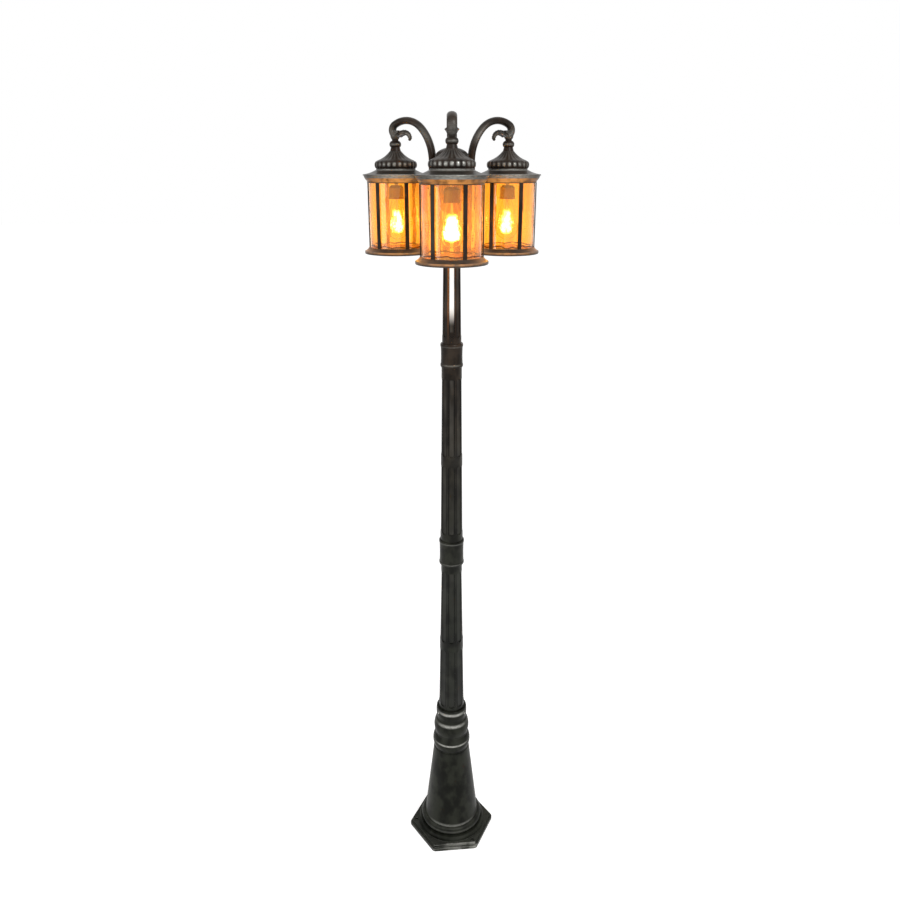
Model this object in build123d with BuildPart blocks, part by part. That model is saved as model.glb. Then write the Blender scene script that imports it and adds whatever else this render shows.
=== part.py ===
from build123d import *
import os
from math import cos, pi, radians, sin, tan

# A garden lamp post with three lanterns hung from gooseneck arms, in millimetres.
# Origin: centre of the anchor holes, on the ground. +Z is up, and the front arm points to -Y.

# ---- driving dimensions -------------------------------------------------------------------------

slip = 0.2  # clearance round a tube, screw or spigot that stays in place
loose = 0.3  # clearance round what is taken out by hand

# base casting
base_corner = 140.0  # centre of the hexagon to its corners, before they are rounded
base_turn = 5.5  # how far the hexagon is turned about the post, in degrees
corner_round = 12.0
flange_height = 10.0
step_inset = 6.0  # the upper hexagon stands back from the flange
step_height = 10.0
disc_radius = 108.0
disc_height = 16.0
disc_round = 5.0
bead_radius = 99.0
bead_depth = 9.0
bead_height = 26.0
neck_radius = 87.0
neck_height = 10.0
cone_foot_radius = 85.5
cone_top_radius = 56.5
cone_height = 258.0
casting_wall = 6.0
socket_depth = 40.0  # how far the lower pole goes down into the cone
socket_shelf = 6.0  # width of the shelf that the pole's end stands on
anchor_circle = 236.0
anchor_count = 3
anchor_hole_radius = 5.5
anchor_start = 65.5  # direction of the first hole, in degrees

# base collar, three rings
low_ring_radius = 59.2
low_ring_height = 54.0
middle_ring_radius = 55.0
middle_ring_height = 60.0
top_ring_radius = 48.0
top_ring_height = 42.0
low_groove_radius = 51.5
top_groove_radius = 46.5
collar_step = 1.5
collar_groove = 7.0  # plain band under each ring

# pole sections
pole_wall = 4.0
lower_bottom_radius = 40.5
lower_top_radius = 31.0
lower_length = 550.0  # from the collar's top to the lower joint
middle_bottom_radius = 32.8
middle_top_radius = 27.7
middle_length = 589.0
upper_bottom_radius = 25.8
upper_top_radius = 21.8
upper_length = 415.0
straight_end = 50.0  # each end of a section is a plain tube over this length
flute_count = 8
flute_share = 0.72  # a flute's width over the distance from one flute to the next
flute_depth = 2.4
flute_margin = 12.0  # from the straight end to the tip of a flute
flute_break = 27.0  # plain band between the two runs of flutes on a section
lower_break_height = 234.0  # from the collar's top to the middle of the lower section's plain band
middle_break_height = 288.5  # from the lower joint to the middle of the middle section's plain band

# couplings
lower_coupling_radius = 36.8
lower_coupling_half = 39.0
upper_coupling_radius = 30.8
upper_coupling_half = 32.0
coupling_bead = 10.0
coupling_bead_depth = 1.2
coupling_waist = 0.6
spigot_wall = 3.0
spigot_half = 42.0

# hub
hub_drop = 46.0  # how far the hub's sleeve reaches down the pole
sleeve_wall = 5.0
hub_taper_height = 8.0
hub_radius = 33.0
hub_height = 60.0
hub_wall = 4.0
rim_flare_height = 12.0
hub_rim_radius = 42.0
hub_rim_height = 9.0
hub_rim_wall = 4.0
boss_radius = 14.0
boss_reach = 36.0  # from the post's axis to the face of a boss
foot_rise = 18.0  # from the pole's top to the axis of the arms' feet
dome_height = 23.0
dome_wall = 2.5
bridge_width = 16.0
bridge_height = 4.0
stud_radius = 4.0
acorn_radius = 9.0
acorn_skirt = 9.0  # height of the acorn nut's straight side
acorn_depth = 9.0  # how far the stud goes into the acorn nut
grub_radius = 3.0
grub_count = 3
grub_start = 90.0

# arms
reach = 167.0  # from the post's axis to a lantern's axis
riser_distance = 56.0
riser_height = 34.0  # the straight stretch above the elbow
arm_thick = 17.2  # in the arm's plane
arm_wide = 24.0
rise_radius = 109.0
rise_angle = 45.0  # how far the rise leans outward from upright at its end
dip_angle = 31.0  # slope of the shoulder past its crown, where the crook starts
crook_radius = 14.5
crook_end = -60.0  # direction of the arm's end from the crook's centre
tail_radius = 6.0
knuckle_radius = 12.0
knuckle_waist = 8.5
knuckle_height = 17.0
knuckle_drop = 9.2  # from the end of the arm's centre line to the knuckle's lower face
knuckle_roof = 4.0
nut_radius = 10.0
nut_height = 6.0

# scroll leaf
leaf_root = 12.0  # from the lantern's axis to the leaf's root
leaf_root_height = 18.0
leaf_root_width = 28.0
leaf_rise = 23.0  # from the knuckle's lower face to the leaf's ridge
leaf_flat = 14.0  # the level stretch of its ridge
leaf_bend = 14.0  # radius at which the ridge bends down
leaf_slope = 48.0  # slope of the beak, in degrees
leaf_beak = 19.0  # the straight stretch of the beak
leaf_thick = 7.5
leaf_curl = 5.5  # radius of the curled tip
leaf_throat = 8.0  # the straight stretch under the beak
leaf_belly_sag = 4.5
leaf_arch = 16.5  # radius of the arch across the leaf
leaf_tip_width = 10.0
tongue_width = 12.0  # of the arm's lug that the leaf's root sits against
tongue_inset = 2.0  # how far the lug stays inside the leaf's root, above and below

# lantern
hanger_radius = 5.0
hanger_bore = 3.2
finial_height = 28.0
finial_top_radius = 8.2
finial_bead_radius = 15.0
finial_bead_height = 16.0
finial_top_height = 3.0
finial_neck_radius = 11.5
finial_foot_radius = 14.0
bell_height = 21.0
bell_foot_radius = 46.0
bell_sag = 2.5
shoulder_height = 3.5
gadroon_count = 24
gadroon_inset = 3.0  # from the groove's radius in to the circle of the gadroons' centres
gadroon_radius = 6.6
gadroon_height = 17.0
groove_radius = 52.0
groove_height = 4.0
skirt_height = 10.0
skirt_sag = 1.6
rim_radius = 86.0
rim_height = 3.0
cove_height = 13.0
cove_sag = 1.2
collar_radius = 75.5
collar_height = 5.0
roof_wall = 4.0
crown_wall = 9.0
seat_width = 10.0
glass_radius = 72.0
glass_wall = 3.0
glass_inset = 6.0  # how far the glass goes up into the roof's collar
open_height = 161.0  # from the roof's collar down to the cage's ring
cage_count = 6
cage_turn = 24.0  # from the arm's direction to the first bar, in degrees
bar_width = 10.5
bar_thick = 3.0
ring_radius = 87.0
ring_height = 11.0
ring_bevel = 2.0
lip_radius = 78.0
ring_rise = 6.0  # the raised lip that holds the foot of the glass
ring_bore = 64.0
ring_floor = 8.0

# lampholder and bulb
holder_radius = 19.0
holder_height = 34.0
holder_top = 6.0
holder_lip = 1.5
holder_drop = 82.0  # from the roof's top to the holder's top
cap_radius = 13.0
cap_length = 25.5
cap_wall = 1.2
cap_tip_radius = 5.0
cap_tip_height = 6.0
bulb_neck_radius = 12.5
bulb_radius = 30.0
bulb_flare = 15.0  # slope of the bulb's cone, in degrees
bulb_length = 104.0
bulb_wall = 1.0
stem_radius = 3.0
stem_length = 30.0
filament_count = 8
filament_radius = 0.7
filament_top_circle = 6.0
filament_low_circle = 13.0
filament_height = 56.0

# ---- levels and places that follow from them ----------------------------------------------------

step_z = flange_height
disc_z = step_z + step_height
bead_z = disc_z + disc_height
neck_z = bead_z + bead_height
cone_z = neck_z + neck_height
collar_z = cone_z + cone_height
middle_ring_z = collar_z + low_ring_height
top_ring_z = middle_ring_z + middle_ring_height
collar_top_z = top_ring_z + top_ring_height
pole_foot_z = collar_z - socket_depth
lower_joint_z = collar_top_z + lower_length
upper_joint_z = lower_joint_z + middle_length
pole_top_z = upper_joint_z + upper_length

foot_z = pole_top_z + foot_rise
hub_flare_z = pole_top_z + hub_height
hub_rim_z = hub_flare_z + rim_flare_height
dome_z = hub_rim_z + hub_rim_height
dome_top_z = dome_z + dome_height * (1 - (acorn_radius / hub_rim_radius) ** 2) ** 0.5
hub_bore = hub_radius - hub_wall

elbow_radius = riser_distance - boss_reach
elbow_top_z = foot_z + elbow_radius
riser_top_z = elbow_top_z + riser_height
rise_end_x = riser_distance + rise_radius * (1 - cos(radians(rise_angle)))
rise_end_z = riser_top_z + rise_radius * sin(radians(rise_angle))
crook_x = reach - crook_radius * cos(radians(crook_end))
climb = cos(radians(rise_angle))
dip = sin(radians(dip_angle))
shoulder_radius = (crook_x - rise_end_x + crook_radius * dip) / (climb + dip)
shoulder_x = rise_end_x + shoulder_radius * climb
shoulder_z = rise_end_z - shoulder_radius * sin(radians(rise_angle))
crook_z = shoulder_z + (shoulder_radius - crook_radius) * cos(radians(dip_angle))
hang_z = crook_z + crook_radius * sin(radians(crook_end)) - knuckle_drop
knuckle_top_z = hang_z + knuckle_height
leaf_top_z = hang_z + leaf_rise

roof_top_z = hang_z - finial_height
bell_foot_z = roof_top_z - bell_height
gadroon_top_z = bell_foot_z - shoulder_height
groove_top_z = gadroon_top_z - gadroon_height
skirt_top_z = groove_top_z - groove_height
rim_top_z = skirt_top_z - skirt_height
rim_z = rim_top_z - rim_height
cove_z = rim_z - cove_height
roof_z = cove_z - collar_height
glass_top_z = roof_z + glass_inset
glass_seat = glass_radius + slip
ring_top_z = roof_z - open_height
lip_z = ring_top_z - ring_rise
ring_z = lip_z - ring_height
glass_z = ring_z + ring_floor

holder_top_z = roof_top_z - holder_drop
holder_z = holder_top_z - holder_height
cap_z = holder_top_z - holder_top - loose - cap_length
bulb_belly_z = cap_z - bulb_length + bulb_radius
stem_z = cap_z - stem_length

up = (0, 0, 1)
lantern_axis = Axis((reach, 0, 0), up)
heads = {"front": -90, "right": 30, "left": 150}


def save(part, label):
    """Label a finished piece and write it."""
    part.label = label
    export_step(part, f"parts/{label}.step")


def save_heads(part, label):
    """Write a piece of the head along +X once for each head, turned to the head's direction."""
    for side, turn in heads.items():
        save(part.rotate(Axis.Z, turn), f"{side}_{label}")


def radial_plane(turn, distance, height):
    """A plane square to the direction turn, at a distance from the post's axis."""
    outward = Vector(cos(radians(turn)), sin(radians(turn)), 0)
    return Plane(origin=outward * distance + Vector(0, 0, height), x_dir=up, z_dir=outward)


def grub_turns():
    """Directions of the grub screws round a sleeve."""
    return [grub_start + i * 360 / grub_count for i in range(grub_count)]


def grub_screws(tube_radius, sleeve_radius, height):
    """Grub screws that bear on a tube and end flush with the sleeve round it."""
    with BuildPart() as screws:
        for turn in grub_turns():
            with BuildSketch(radial_plane(turn, tube_radius, height)):
                Circle(grub_radius)
            extrude(amount=sleeve_radius - tube_radius)
    return screws.part


def pole_section(bottom_radius, top_radius, foot, taper_foot, top, runs):
    """A tapered tube with straight ends and flutes. runs holds the ends of each run of flutes."""
    taper_top = top - straight_end
    slope = (bottom_radius - top_radius) / (taper_top - taper_foot)
    with BuildPart() as pole:
        for inset, mode in ((0, Mode.ADD), (pole_wall, Mode.SUBTRACT)):
            with BuildSketch(Plane.XZ):
                Polygon(
                    (0, foot),
                    (bottom_radius - inset, foot),
                    (bottom_radius - inset, taper_foot),
                    (top_radius - inset, taper_top),
                    (top_radius - inset, top),
                    (0, top),
                    align=None,
                )
            revolve(axis=Axis.Z, mode=mode)
        for run_foot, run_top in runs:
            middle = (run_foot + run_top) / 2
            radius = bottom_radius - slope * (middle - taper_foot)
            width = flute_share * 2 * pi * radius / flute_count
            for i in range(flute_count):
                turn = radians(heads["front"] + i * 360 / flute_count)
                outward = Vector(cos(turn), sin(turn), slope)
                along = Vector(-slope * cos(turn), -slope * sin(turn), 1)
                floor = Vector(cos(turn), sin(turn), 0) * (radius - flute_depth)
                bed = Plane(origin=floor + Vector(0, 0, middle), x_dir=along, z_dir=outward)
                with BuildSketch(bed):
                    SlotOverall(run_top - run_foot, width)
                extrude(amount=2 * flute_depth, mode=Mode.SUBTRACT)
    return pole.part


def two_runs(foot, middle, top):
    """Two runs of flutes between two levels, with a plain band round a level between them."""
    return [(foot, middle - flute_break / 2), (middle + flute_break / 2, top)]


def ring_profile(foot_radius, ring_radius, top_radius, foot, top):
    """Half the outline of one ring of the collar: a plain band and the bead above it."""
    bead_foot = foot + collar_groove
    Line((foot_radius, foot), (foot_radius, bead_foot))
    ThreePointArc((foot_radius, bead_foot), (ring_radius, (bead_foot + top) / 2), (top_radius, top))


def coupling(joint_z, half, radius, low_radius, high_radius):
    """A sleeve round a joint: two beaded ends, a waisted barrel and a bore for each tube."""
    foot = joint_z - half
    top = joint_z + half
    root = radius - coupling_bead_depth
    with BuildPart() as sleeve:
        with BuildSketch(Plane.XZ):
            with BuildLine():
                Line((low_radius + slip, foot), (root, foot))
                ThreePointArc((root, foot), (radius, foot + coupling_bead / 2), (root, foot + coupling_bead))
                ThreePointArc(
                    (root, foot + coupling_bead),
                    (root - coupling_waist, joint_z),
                    (root, top - coupling_bead),
                )
                ThreePointArc((root, top - coupling_bead), (radius, top - coupling_bead / 2), (root, top))
                Polyline(
                    (root, top),
                    (high_radius + slip, top),
                    (high_radius + slip, joint_z),
                    (low_radius + slip, joint_z),
                    (low_radius + slip, foot),
                )
            make_face()
        revolve(axis=Axis.Z)
    return sleeve.part


def spigot(joint_z, low_radius, high_radius):
    """A stepped sleeve inside the two tubes that meet at a joint."""
    low_outer = low_radius - pole_wall - slip
    high_outer = high_radius - pole_wall - slip
    bore = min(low_outer, high_outer) - spigot_wall
    with BuildPart() as sleeve:
        with BuildSketch(Plane.XZ):
            Polygon(
                (bore, joint_z - spigot_half),
                (low_outer, joint_z - spigot_half),
                (low_outer, joint_z),
                (high_outer, joint_z),
                (high_outer, joint_z + spigot_half),
                (bore, joint_z + spigot_half),
                align=None,
            )
        revolve(axis=Axis.Z)
    return sleeve.part


os.makedirs("parts", exist_ok=True)

# ---- base ---------------------------------------------------------------------------------------

with BuildPart() as base_casting:
    with BuildSketch() as flange:
        RegularPolygon(radius=base_corner, side_count=6, rotation=base_turn)
        fillet(flange.vertices(), corner_round)
    extrude(amount=flange_height)
    with BuildSketch(Plane.XY.offset(step_z)) as step:
        RegularPolygon(radius=base_corner, side_count=6, rotation=base_turn)
        fillet(step.vertices(), corner_round)
        offset(amount=-step_inset, mode=Mode.REPLACE)
    extrude(amount=step_height)
    bead_root = bead_radius - bead_depth
    with BuildSketch(Plane.XZ) as plinth:
        with BuildLine():
            Polyline(
                (0, disc_z),
                (disc_radius, disc_z),
                (disc_radius, bead_z - disc_round),
                (disc_radius - disc_round, bead_z),
                (bead_root, bead_z),
            )
            ThreePointArc((bead_root, bead_z), (bead_radius, (bead_z + neck_z) / 2), (bead_root, neck_z))
            Polyline(
                (bead_root, neck_z),
                (neck_radius, neck_z),
                (cone_foot_radius, cone_z),
                (cone_top_radius, collar_z),
                (0, collar_z),
                (0, disc_z),
            )
        make_face()
    revolve(axis=Axis.Z)
    socket_radius = lower_bottom_radius + slip
    cone_slope = (cone_foot_radius - cone_top_radius) / cone_height
    shelf_radius = cone_top_radius + cone_slope * (socket_depth + casting_wall)
    with BuildSketch(Plane.XZ) as cavity:
        Polygon(
            (0, 0),
            (disc_radius - casting_wall, 0),
            (disc_radius - casting_wall, bead_z - disc_round - casting_wall),
            (bead_root - casting_wall, bead_z - casting_wall),
            (cone_foot_radius - casting_wall, cone_z),
            (shelf_radius - casting_wall, pole_foot_z - casting_wall),
            (socket_radius - socket_shelf, pole_foot_z - casting_wall),
            (socket_radius - socket_shelf, pole_foot_z),
            (socket_radius, pole_foot_z),
            (socket_radius, collar_z),
            (0, collar_z),
            align=None,
        )
    revolve(axis=Axis.Z, mode=Mode.SUBTRACT)
    with BuildSketch() as anchors:
        with PolarLocations(anchor_circle / 2, anchor_count, start_angle=anchor_start):
            Circle(anchor_hole_radius)
    extrude(amount=disc_z, mode=Mode.SUBTRACT)
save(base_casting.part, "base_casting")

collar_foot_radius = cone_top_radius - collar_step
ring_end_z = collar_top_z - collar_step
collar_grub_z = (top_ring_z + collar_groove + ring_end_z) / 2
with BuildPart() as base_collar:
    with BuildSketch(Plane.XZ):
        with BuildLine():
            ring_profile(collar_foot_radius, low_ring_radius, low_groove_radius, collar_z, middle_ring_z)
            ring_profile(low_groove_radius, middle_ring_radius, top_groove_radius, middle_ring_z, top_ring_z)
            ring_profile(top_groove_radius, top_ring_radius, top_groove_radius, top_ring_z, ring_end_z)
            Polyline(
                (top_groove_radius, ring_end_z),
                (top_groove_radius - collar_step, collar_top_z),
                (socket_radius, collar_top_z),
                (socket_radius, collar_z),
                (collar_foot_radius, collar_z),
            )
        make_face()
    revolve(axis=Axis.Z)
    for turn in grub_turns():
        with BuildSketch(radial_plane(turn, 0, collar_grub_z)):
            Circle(grub_radius + slip)
        extrude(amount=2 * top_ring_radius, mode=Mode.SUBTRACT)
save(base_collar.part, "base_collar")
save(grub_screws(lower_bottom_radius, top_ring_radius, collar_grub_z), "collar_screws")

# ---- pole ---------------------------------------------------------------------------------------

lower_pole = pole_section(
    lower_bottom_radius,
    lower_top_radius,
    pole_foot_z,
    collar_top_z,
    lower_joint_z,
    two_runs(
        collar_top_z + flute_margin,
        collar_top_z + lower_break_height,
        lower_joint_z - straight_end - flute_margin,
    ),
)
save(lower_pole, "lower_pole")

middle_pole = pole_section(
    middle_bottom_radius,
    middle_top_radius,
    lower_joint_z,
    lower_joint_z + straight_end,
    upper_joint_z,
    two_runs(
        lower_joint_z + straight_end + flute_margin,
        lower_joint_z + middle_break_height,
        upper_joint_z - straight_end - flute_margin,
    ),
)
save(middle_pole, "middle_pole")

upper_pole = pole_section(
    upper_bottom_radius,
    upper_top_radius,
    upper_joint_z,
    upper_joint_z + straight_end,
    pole_top_z,
    [(upper_joint_z + straight_end, pole_top_z - hub_drop - flute_margin)],
)
save(upper_pole, "upper_pole")

lower_coupling = coupling(
    lower_joint_z,
    lower_coupling_half,
    lower_coupling_radius,
    lower_top_radius,
    middle_bottom_radius,
)
save(lower_coupling, "lower_coupling")
save(spigot(lower_joint_z, lower_top_radius, middle_bottom_radius), "lower_spigot")

upper_coupling = coupling(
    upper_joint_z,
    upper_coupling_half,
    upper_coupling_radius,
    middle_top_radius,
    upper_bottom_radius,
)
save(upper_coupling, "upper_coupling")
save(spigot(upper_joint_z, middle_top_radius, upper_bottom_radius), "upper_spigot")

# ---- hub ----------------------------------------------------------------------------------------

hub_foot_z = pole_top_z - hub_drop
hub_grub_z = hub_foot_z + hub_drop / 2
sleeve_bore = upper_top_radius + slip
sleeve_radius = sleeve_bore + sleeve_wall
rim_bore = hub_rim_radius - hub_rim_wall
with BuildPart() as hub_body:
    with BuildSketch(Plane.XZ):
        with BuildLine():
            Polyline(
                (0, hub_foot_z),
                (sleeve_radius, hub_foot_z),
                (sleeve_radius, pole_top_z - hub_taper_height),
                (hub_radius, pole_top_z),
                (hub_radius, hub_flare_z),
            )
            ThreePointArc(
                (hub_radius, hub_flare_z),
                (hub_radius + (hub_rim_radius - hub_radius) / 4, hub_flare_z + rim_flare_height * 0.6),
                (hub_rim_radius, hub_rim_z),
            )
            Polyline((hub_rim_radius, hub_rim_z), (hub_rim_radius, dome_z), (0, dome_z), (0, hub_foot_z))
        make_face()
    revolve(axis=Axis.Z)
    for turn in heads.values():
        with BuildSketch(radial_plane(turn, 0, foot_z)):
            Circle(boss_radius)
        extrude(amount=boss_reach)
    with BuildSketch(Plane.XZ):
        Polygon(
            (0, hub_foot_z),
            (sleeve_bore, hub_foot_z),
            (sleeve_bore, pole_top_z),
            (hub_bore, pole_top_z),
            (hub_bore, hub_rim_z),
            (rim_bore, hub_rim_z),
            (rim_bore, dome_z),
            (0, dome_z),
            align=None,
        )
    revolve(axis=Axis.Z, mode=Mode.SUBTRACT)
    for turn in heads.values():
        with BuildSketch(radial_plane(turn, 0, foot_z)):
            Circle(tail_radius + slip)
        extrude(amount=2 * boss_reach, mode=Mode.SUBTRACT)
    for turn in grub_turns():
        with BuildSketch(radial_plane(turn, 0, hub_grub_z)):
            Circle(grub_radius + slip)
        extrude(amount=2 * sleeve_radius, mode=Mode.SUBTRACT)
save(hub_body.part, "hub_body")
save(grub_screws(upper_top_radius, sleeve_radius, hub_grub_z), "hub_screws")

with BuildPart() as hub_bridge:
    with BuildSketch(Plane.XY.offset(hub_rim_z)):
        Rectangle(2 * hub_rim_radius, bridge_width)
        Circle(rim_bore - slip, mode=Mode.INTERSECT)
        Circle(stud_radius + slip, mode=Mode.SUBTRACT)
    extrude(amount=bridge_height)
save(hub_bridge.part, "hub_bridge")

with BuildPart() as hub_cap:
    with BuildSketch(Plane.XZ):
        with Locations((0, dome_z)):
            Ellipse(hub_rim_radius, dome_height)
            Ellipse(hub_rim_radius - dome_wall, dome_height - dome_wall, mode=Mode.SUBTRACT)
            Rectangle(hub_rim_radius, dome_top_z - dome_z, align=Align.MIN, mode=Mode.INTERSECT)
    revolve(axis=Axis.Z)
    with BuildSketch(Plane.XY.offset(dome_z)):
        Circle(stud_radius + slip)
    extrude(amount=2 * dome_height, mode=Mode.SUBTRACT)
save(hub_cap.part, "hub_cap")

with BuildPart() as hub_stud:
    with BuildSketch(Plane.XY.offset(hub_rim_z)):
        Circle(stud_radius)
    extrude(amount=dome_top_z + acorn_depth - hub_rim_z)
save(hub_stud.part, "hub_stud")

acorn_shoulder_z = dome_top_z + acorn_skirt
with BuildPart() as hub_finial:
    with BuildSketch(Plane.XZ):
        with BuildLine():
            Polyline((0, dome_top_z), (acorn_radius, dome_top_z), (acorn_radius, acorn_shoulder_z))
            JernArc((acorn_radius, acorn_shoulder_z), (0, 1), acorn_radius, 90)
            Line((0, acorn_shoulder_z + acorn_radius), (0, dome_top_z))
        make_face()
    revolve(axis=Axis.Z)
    with BuildSketch(Plane.XY.offset(dome_top_z)):
        Circle(stud_radius + slip)
    extrude(amount=acorn_depth, mode=Mode.SUBTRACT)
save(hub_finial.part, "hub_finial")

# ---- arms ---------------------------------------------------------------------------------------

nut_seat = (hub_bore**2 - nut_radius**2) ** 0.5  # where a nut's corners meet the hub's bore
tail_length = boss_reach - nut_seat + nut_height
with BuildPart() as arm:
    with BuildLine(Plane.XZ) as arm_line:
        CenterArc((boss_reach, elbow_top_z), elbow_radius, -90, 90)
        Line((riser_distance, elbow_top_z), (riser_distance, riser_top_z))
        CenterArc((riser_distance + rise_radius, riser_top_z), rise_radius, 180, -rise_angle)
        CenterArc((shoulder_x, shoulder_z), shoulder_radius, 180 - rise_angle, rise_angle - 90 - dip_angle)
        CenterArc((crook_x, crook_z), crook_radius, 90 - dip_angle, crook_end + dip_angle - 90)
    with BuildSketch(Plane((boss_reach, 0, foot_z), x_dir=(0, 1, 0), z_dir=(1, 0, 0))):
        Ellipse(arm_wide / 2, arm_thick / 2)
    sweep(path=arm_line.line)
    with BuildSketch(Plane.XZ):
        with BuildLine():
            Polyline((reach, knuckle_top_z), (reach, hang_z), (reach + knuckle_waist, hang_z))
            ThreePointArc(
                (reach + knuckle_waist, hang_z),
                (reach + knuckle_radius, hang_z + knuckle_height / 2),
                (reach + knuckle_waist, knuckle_top_z),
            )
            Line((reach + knuckle_waist, knuckle_top_z), (reach, knuckle_top_z))
        make_face()
    revolve(axis=lantern_axis)
    with BuildSketch(Plane.XY.offset(leaf_top_z - tongue_inset)):
        with Locations((reach, 0)):
            Rectangle(leaf_root, tongue_width, align=(Align.MAX, Align.CENTER))
    extrude(amount=2 * tongue_inset - leaf_root_height)
    with BuildSketch(Plane.XY.offset(hang_z)):
        with Locations((reach, 0)):
            Circle(hanger_radius + slip)
    extrude(amount=knuckle_height - knuckle_roof, mode=Mode.SUBTRACT)
    with BuildSketch(Plane.YZ.offset(boss_reach - tail_length)):
        with Locations((0, foot_z)):
            Circle(tail_radius)
    extrude(amount=tail_length)
save_heads(arm.part, "arm")

with BuildPart() as arm_nuts:
    for turn in heads.values():
        with BuildSketch(radial_plane(turn, nut_seat, foot_z)):
            RegularPolygon(radius=nut_radius, side_count=6)
            Circle(tail_radius + slip, mode=Mode.SUBTRACT)
        extrude(amount=-nut_height)
save(arm_nuts.part, "arm_nuts")

root_x = reach - leaf_root
along_x = cos(radians(leaf_slope))
along_z = sin(radians(leaf_slope))
bend_x = root_x - leaf_flat
bend_end = (bend_x - leaf_bend * along_z, leaf_top_z - leaf_bend * (1 - along_x))
beak_x = bend_end[0] - leaf_beak * along_x
beak_z = bend_end[1] - leaf_beak * along_z
curl_x = beak_x + leaf_curl * along_z
curl_z = beak_z - leaf_curl * along_x
throat_depth = leaf_thick - leaf_curl
throat_run = (leaf_curl**2 - throat_depth**2) ** 0.5
throat_x = curl_x + throat_depth * along_z + throat_run * along_x
throat_z = curl_z - throat_depth * along_x + throat_run * along_z
belly_foot = (throat_x + leaf_throat * along_x, throat_z + leaf_throat * along_z)
root_foot = (root_x, leaf_top_z - leaf_root_height)
tip_x = curl_x - leaf_curl
leaf_length = root_x - tip_x
with BuildPart() as leaf:
    with BuildSketch(Plane.XZ):
        with BuildLine():
            Line((root_x, leaf_top_z), (bend_x, leaf_top_z))
            CenterArc((bend_x, leaf_top_z - leaf_bend), leaf_bend, 90, leaf_slope)
            Line(bend_end, (beak_x, beak_z))
            ThreePointArc((beak_x, beak_z), (curl_x, curl_z - leaf_curl), (throat_x, throat_z))
            Line((throat_x, throat_z), belly_foot)
            SagittaArc(belly_foot, root_foot, leaf_belly_sag)
            Line(root_foot, (root_x, leaf_top_z))
        make_face()
    extrude(amount=leaf_arch, both=True)
    with BuildSketch(Plane.XY.offset(leaf_top_z)):
        with BuildLine():
            Line((root_x, -leaf_root_width / 2), (root_x, leaf_root_width / 2))
            ThreePointArc((root_x, leaf_root_width / 2), (bend_x, leaf_arch), (tip_x, leaf_tip_width / 2))
            Line((tip_x, leaf_tip_width / 2), (tip_x, -leaf_tip_width / 2))
            ThreePointArc((tip_x, -leaf_tip_width / 2), (bend_x, -leaf_arch), (root_x, -leaf_root_width / 2))
        make_face()
    extrude(amount=-leaf_length, mode=Mode.INTERSECT)
    level = Plane(origin=(bend_x, 0, leaf_top_z), x_dir=(0, 1, 0), z_dir=(1, 0, 0))
    tilted = Plane(origin=(beak_x, 0, beak_z), x_dir=(0, 1, 0), z_dir=(along_x, 0, along_z))
    for ridge in (level, tilted):
        with BuildSketch(ridge):
            with Locations((0, -leaf_arch)):
                Circle(leaf_arch)
                Rectangle(2 * leaf_arch, leaf_length, align=(Align.CENTER, Align.MAX))
        extrude(amount=leaf_length, both=True, mode=Mode.INTERSECT)
save_heads(leaf.part, "leaf")

# ---- lantern ------------------------------------------------------------------------------------

hanger_foot_z = holder_top_z - holder_top
hanger_length = knuckle_top_z - knuckle_roof - hanger_foot_z
with BuildPart() as hanger_tube:
    with BuildSketch(Plane.XY.offset(hanger_foot_z)):
        with Locations((reach, 0)):
            Circle(hanger_radius)
            Circle(hanger_bore, mode=Mode.SUBTRACT)
    extrude(amount=hanger_length)
save_heads(hanger_tube.part, "hanger_tube")

hanger_seat = hanger_radius + slip
bead_top_z = hang_z - finial_top_height
bead_low_z = bead_top_z - finial_bead_height
with BuildPart() as finial:
    with BuildSketch(Plane.XZ):
        with BuildLine():
            Polyline(
                (reach + hanger_seat, roof_top_z),
                (reach + hanger_seat, hang_z),
                (reach + finial_top_radius, hang_z),
                (reach + finial_top_radius, bead_top_z),
            )
            ThreePointArc(
                (reach + finial_top_radius, bead_top_z),
                (reach + finial_bead_radius, (bead_top_z + bead_low_z) / 2),
                (reach + finial_neck_radius, bead_low_z),
            )
            Polyline(
                (reach + finial_neck_radius, bead_low_z),
                (reach + finial_foot_radius, roof_top_z),
                (reach + hanger_seat, roof_top_z),
            )
        make_face()
    revolve(axis=lantern_axis)
save_heads(finial.part, "finial")

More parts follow.
